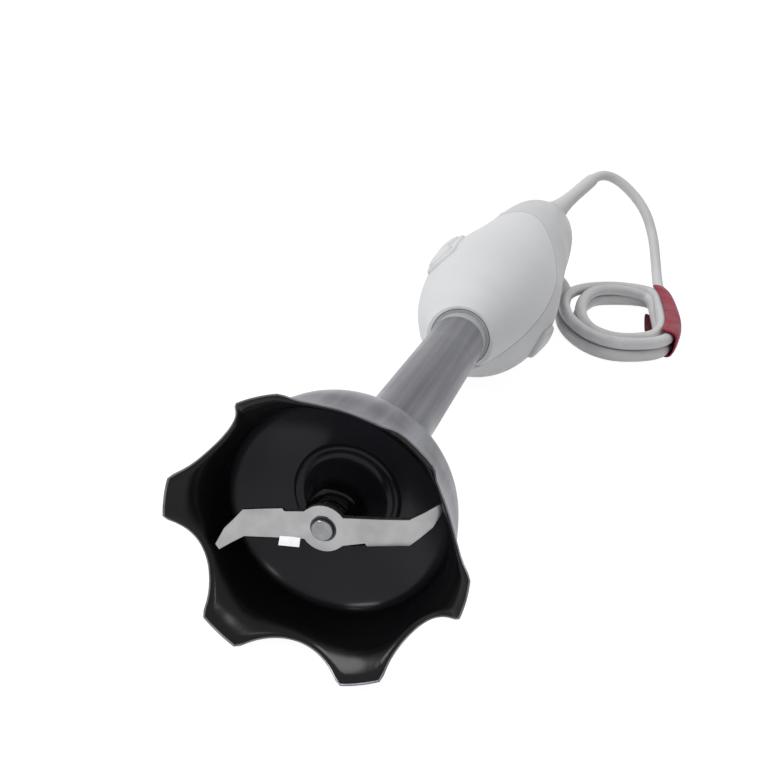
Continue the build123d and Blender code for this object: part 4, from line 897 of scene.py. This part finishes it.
def pad(angle, s, length, width, base, proud, soft, crown=0.0):
    """A round-ended pad that follows the housing's skin, with a soft edge."""
    # inset from the outline and height over the skin of each ring
    rings = [(width / 2 - 0.01 * MM, base), (soft, base), (0.0, base), (0.0, proud - soft)]
    rings += [(soft * (1 - cos(turn)), proud - soft * (1 - sin(turn)))
              for turn in (pi / 8, pi / 4, 3 * pi / 8, pi / 2)]
    top = width / 2 - soft
    rings += [(soft + top * share, proud + crown * (1 - (1 - share) ** 2))
              for share in (0.25, 0.5, 0.75, 0.99)]

    def place(index, ring):
        inset, height = ring
        along, across = slot_point(index, length, width, inset)
        return on_body(angle, s + along, across, height)

    return carried(SLOT_STEPS, rings, place)


def opening(angle, s, length, width, gap):
    """A round-ended bar that cuts a button's opening through the housing's wall."""
    middle = Vector((0, RIM_Y + s, body_at(s)[1]))
    out, side = outwards(angle)

    def place(index, reach):
        along, across = slot_point(index, length + 2 * gap, width + 2 * gap, 0.0)
        return middle + Vector((0, along, 0)) + side * across + out * reach

    return mesh_object("opening", carried(SLOT_STEPS, OPENING_REACH, place))


def screw_mesh(side, rings):
    """A round form on a housing screw's line from (radius, height) rings."""
    up, sideways = outwards(SEAM_ANGLE)

    def place(index, ring):
        radius, height = ring
        turn = tau * index / WELL_STEPS
        along = radius * cos(turn)
        across = side * SCREW_ACROSS + radius * sin(turn)
        if height is None:
            skin, _ = body_at(SCREW_S + along)
            height = WELL_SINK - sqrt(skin ** 2 - across ** 2)
        middle = Vector((0, RIM_Y + SCREW_S + along, body_at(SCREW_S)[1]))
        return middle - sideways * across + up * height

    return carried(WELL_STEPS, rings, place)


def cut(piece, bars):
    """Take the bars out of a piece."""
    for bar in bars:
        tuned(piece.modifiers.new("Opening", "BOOLEAN"),
              operation="DIFFERENCE", solver="EXACT", object=bar)


def drop(bars):
    for bar in bars:
        data = bar.data
        bpy.data.objects.remove(bar)
        bpy.data.meshes.remove(data)


def cover(name, side, bars, slot):
    """One shell of the motor unit, on one side of the seam, with its openings."""
    sizes = bpy.context.scene.blender_housing
    up, _ = outwards(SEAM_ANGLE)
    seam_normal = (up - Vector((0, SEAM_SLOPE, 0))).normalized()
    seam_place = Vector((0, RIM_Y + SEAM_START, body_at(WIDEST_S)[1]))
    mesh = housing_skin()
    bmesh.ops.bisect_plane(
        mesh, geom=mesh.verts[:] + mesh.edges[:] + mesh.faces[:], dist=1e-7,
        plane_co=seam_place + seam_normal * side * sizes.seam_gap / 2, plane_no=seam_normal * side,
        clear_inner=True)
    shell = new_piece(name, mesh, "root", slot)
    tuned(shell.modifiers.new("Wall", "SOLIDIFY"),
          thickness=sizes.wall, offset=-1.0, use_even_offset=True)
    cut(shell, bars)
    soft_edges(shell, 0.25 * MM)
    finished(shell)
    return shell


class OBJECT_OT_housing(bpy.types.Operator):
    """Make the motor unit's two shells, its screw wells, its button frame and its buttons"""

    bl_idname = "hand_blender.housing"
    bl_label = "Motor Unit"

    def execute(self, context):
        sizes = context.scene.blender_housing
        # angle, s, length and width of each button
        power, turbo = ((BUTTON_ANGLE, s, sizes.button_length, sizes.button_width)
                        for s in (sizes.power_s, sizes.turbo_s))
        right, left = ((angle, sizes.release_s, sizes.release_length, sizes.release_width)
                       for angle in RELEASE_ANGLES)
        upper = [opening(*button, sizes.button_gap) for button in (power, turbo)]
        lower = [opening(*button, sizes.button_gap) for button in (right, left)]
        lower += [mesh_object("well", screw_mesh(side, WELL_CUT)) for side in (-1, 1)]
        front = cover("cover_front", 1, upper, "white_plastic")
        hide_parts("front_housing")
        # the rear shell wears the darker copy of the white as painted shade
        rear = cover("cover_rear", -1, lower, "shade_plastic")
        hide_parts("rear_housing")
        # the screw wells wear the rear shell's painted shade
        for name, side in (("screw_well_left", -1), ("screw_well_right", 1)):
            well = new_piece(name, screw_mesh(side, WELL_WALL), "root", "shade_plastic")
            keep_sharp(well)

        middle = (sizes.power_s + sizes.turbo_s) / 2
        length = sizes.turbo_s - sizes.power_s + sizes.button_length + 2 * sizes.bezel_margin
        frame_mesh = pad(BUTTON_ANGLE, middle, length, sizes.button_width + 2 * sizes.bezel_margin,
                         -1.0 * MM, sizes.bezel_proud, 0.9 * MM)
        bezel = new_piece("button_frame", frame_mesh, "root", "white_plastic")
        cut(bezel, upper)
        soft_edges(bezel, 0.2 * MM)
        finished(bezel)
        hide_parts("button_bezel")
        drop(upper + lower)

        for node, button, proud, soft, slot in (
            ("power_button", power, sizes.button_proud, 1.3 * MM, "white_plastic"),
            ("turbo_button", turbo, sizes.button_proud, 1.3 * MM, "white_plastic"),
            # the release buttons wear the rear shell's painted shade
            ("release_button_right", right, sizes.release_proud, 1.2 * MM, "shade_plastic"),
            ("release_button_left", left, sizes.release_proud, 1.2 * MM, "shade_plastic"),
        ):
            cap = pad(*button, CAP_BASE, proud - CAP_CROWN, soft, crown=CAP_CROWN)
            piece = new_piece(node + "_cap", cap, node, slot)
            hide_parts(node)
        return {"FINISHED"}


# ---------------- cord
def at(x, s, z):
    """A point from its X, its distance from the rim and its height, in millimetres."""
    return (x * MM, RIM_Y + s * MM, z * MM)


BOOT_BASE = Vector(at(6, 397, 41.5))
BOOT_DIRECTION = Vector((0.345, 0.833, 0.434)).normalized()
BOOT_LENGTH = 42.0 * MM
BOOT_TIP = BOOT_BASE + BOOT_DIRECTION * BOOT_LENGTH

LEAD = [
    tuple(BOOT_TIP), at(23.4, 439.4, 62.8), at(32.0, 447.0, 62.8), at(44.0, 447.5, 57.5),
    at(57.0, 444.0, 48.0), at(66.5, 438.0, 34.0), at(72.5, 425.0, 20.0), at(76.4, 410.5, 11.2),
    at(79.6, 399.5, 9.3),
]
TAIL = [at(26, 382, 3), at(14, 408, 3), at(-6, 424, 3), at(-20, 444, 3), at(-22, 470, 7)]
STATIONS = [  # middle lines of the hank's outer and inner strands, X and s, millimetres
    ((84.2, 368), (78.2, 367)), ((86.0, 346), (79.9, 346)), ((85.8, 324), (79.7, 326)),
    ((81.0, 304), (75.6, 308)), ((70.0, 289), (66.0, 294)), ((57.0, 278.5), (56.0, 285.8)),
    ((44.0, 281), (46.0, 288.5)), ((32.5, 299), (39.4, 303)), ((27.5, 323), (36.5, 325)),
    ((28.0, 347), (37.5, 351)), ((36.0, 369), (43.0, 372)), ((49.5, 388.5), (53.0, 383.5)),
    ((63.5, 400), (63.5, 392.5)), ((74.5, 404), (71.0, 396)), ((80.6, 397), (75.0, 390)),
    ((82.6, 384), (76.7, 380)),
]
CHANGE_STATIONS = 4  # at the end of a turn, where the cord goes over to the next one
LAST_STATION = 9  # of the last turn, from which the tail leads on


def hank_turns():
    """The four turns of the hank: outer and inner on top, then inner and outer below."""
    sizes = bpy.context.scene.blender_cord
    # the share of the way from the outer to the inner line, and the height
    turns = ((0.0, sizes.high), (1.0, sizes.high), (1.0, sizes.low), (0.0, sizes.low))
    points = []
    for turn, (own_share, own_height) in enumerate(turns):
        last = turn == len(turns) - 1
        next_share, next_height = turns[turn] if last else turns[turn + 1]
        for index, (outer, inner) in enumerate(STATIONS[:LAST_STATION + 1] if last else STATIONS):
            changed = max(index + 1 + CHANGE_STATIONS - len(STATIONS), 0) / (CHANGE_STATIONS + 1)
            share = own_share + (next_share - own_share) * changed
            height = own_height + (next_height - own_height) * changed
            x, s = (start + (end - start) * share for start, end in zip(outer, inner))
            points.append(at(x, s, height / MM))
    return points


def smooth_cord(name, points, radius):
    """A round cord on a smooth line with these control points."""
    data = tuned(bpy.data.curves.new(name, "CURVE"), dimensions="3D", twist_mode="MINIMUM",
                 bevel_depth=radius, bevel_resolution=6, use_fill_caps=True)
    spline = data.splines.new("NURBS")
    spline.points.add(len(points) - 1)
    for point, place in zip(spline.points, points):
        point.co = (*place, 1.0)
    tuned(spline, order_u=3, use_endpoint_u=True, resolution_u=8)
    return placed(name, data)


def line_length(piece):
    """Length of a curve's own line."""
    plain = piece.data.copy()
    plain.bevel_depth = 0.0
    probe = bpy.data.objects.new("probe", plain)
    line = bpy.data.meshes.new_from_object(probe)
    length = sum((line.vertices[edge.vertices[0]].co - line.vertices[edge.vertices[1]].co).length
                 for edge in line.edges)
    bpy.data.meshes.remove(line)
    bpy.data.objects.remove(probe)
    bpy.data.curves.remove(plain)
    return length


class OBJECT_OT_cord(bpy.types.Operator):
    """Make the cord's lead, hank and tail, and measure its line's length"""

    bl_idname = "hand_blender.cord"
    bl_label = "Cord"

    def execute(self, context):
        sizes = context.scene.blender_cord
        cord = smooth_cord("mains_cord", LEAD + hank_turns() + TAIL, sizes.radius)
        cord.data.materials.append(FINISH["white_cord"])
        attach(cord, "root")
        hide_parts("cord_lead", "cord_hank", "cord_tail")
        length = line_length(cord)
        return {"FINISHED"}


# ---------------- tie
TIE_LINE = [  # the outer strand's middle line inside the tie, X and s, millimetres
    (77.6, 403.5), (79.6, 399.0), (81.2, 392.5), (82.7, 382), (84.0, 370), (85.2, 356), (86.0, 343),
    (86.0, 329), (85.1, 317), (83.4, 309),
]
TIE_SECTION = [  # outwards from that line and height, millimetres
    (-5.6, 13.1), (-3.0, 13.6), (0.4, 13.6), (2.7, 12.7), (3.7, 10.6), (3.8, 7.0), (3.7, 3.4),
    (2.9, 1.3), (1.0, 0.5), (-3.0, 0.4), (-6.0, 0.4),
]
TAB_LINE = [(85.5, 380.0), (85.8, 361.5), (86.2, 343.0)]  # as the tie's
TAB_SECTION = [(-3.0, 0.4), (-7.5, 0.4), (-9.5, 0.5), (-12.0, 0.7), (-13.2, 1.3)]
TIE_THICKNESS = 0.8 * MM


def strap(section, line):
    """A strap with this section carried along a line."""
    def place(index, ring):
        before = Vector(line[max(ring - 1, 0)])
        after = Vector(line[min(ring + 1, len(line) - 1)])
        along = (after - before).normalized()
        out, z = section[index]
        x, s = Vector(line[ring]) + Vector((-along.y, along.x)) * out
        return at(x, s, z)

    return carried(len(section), range(len(line)), place, closed=False)


class OBJECT_OT_tie(bpy.types.Operator):
    """Make the red strap round the closed end of the hank and its end under the strands"""

    bl_idname = "hand_blender.tie"
    bl_label = "Tie"

    def execute(self, context):
        tie = new_piece("tie_strap", strap(TIE_SECTION, TIE_LINE), "root", "red_tie")
        # the tab under the strands wears the darker red of painted shade
        tab = new_piece("tie_tab", strap(TAB_SECTION, TAB_LINE), "root", "red_tie", "painted_shade_tie")
        for piece in (tie, tab):
            tuned(piece.modifiers.new("Smooth", "SUBSURF"), levels=2, render_levels=2)
            tuned(piece.modifiers.new("Wall", "SOLIDIFY"), thickness=TIE_THICKNESS, offset=0.0)
            tuned(piece.modifiers.new("Edge", "BEVEL"), width=0.2 * MM, segments=2)
        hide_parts("cord_tie")
        return {"FINISHED"}


# ---------------- panel and registration
class VIEW3D_PT_hand_blender(bpy.types.Panel):
    """Buttons for each piece of the blender"""

    bl_idname = "VIEW3D_PT_hand_blender"
    bl_label = "Immersion Blender"
    bl_space_type = "VIEW_3D"
    bl_region_type = "UI"
    bl_category = "Blender"

    def draw(self, context):
        for operator in OPERATORS:
            self.layout.operator(operator.bl_idname)


SETTINGS = {"blender_guard": GuardSizes, "blender_blade": BladeSizes,
            "blender_housing": HousingSizes, "blender_cord": CordSizes,
            "blender_finishes": Finishes}
OPERATORS = (OBJECT_OT_finishes, OBJECT_OT_stage, OBJECT_OT_guard, OBJECT_OT_blade,
             OBJECT_OT_housing, OBJECT_OT_tie, OBJECT_OT_cord)


def register():
    for group in SETTINGS.values():
        bpy.utils.register_class(group)
    for name, group in SETTINGS.items():
        setattr(bpy.types.Scene, name, bpy.props.PointerProperty(type=group))
    for operator in OPERATORS:
        bpy.utils.register_class(operator)
    bpy.utils.register_class(VIEW3D_PT_hand_blender)


def unregister():
    bpy.utils.unregister_class(VIEW3D_PT_hand_blender)
    for operator in reversed(OPERATORS):
        bpy.utils.unregister_class(operator)
    for name in SETTINGS:
        delattr(bpy.types.Scene, name)
    for group in reversed(SETTINGS.values()):
        bpy.utils.unregister_class(group)


def main():
    register()
    bpy.ops.hand_blender.finishes()
    bpy.ops.hand_blender.stage()
    bpy.ops.hand_blender.guard()
    bpy.ops.hand_blender.blade()
    bpy.ops.hand_blender.housing()
    bpy.ops.hand_blender.tie()
    bpy.ops.hand_blender.cord()


if __name__ == "__main__":
    main()
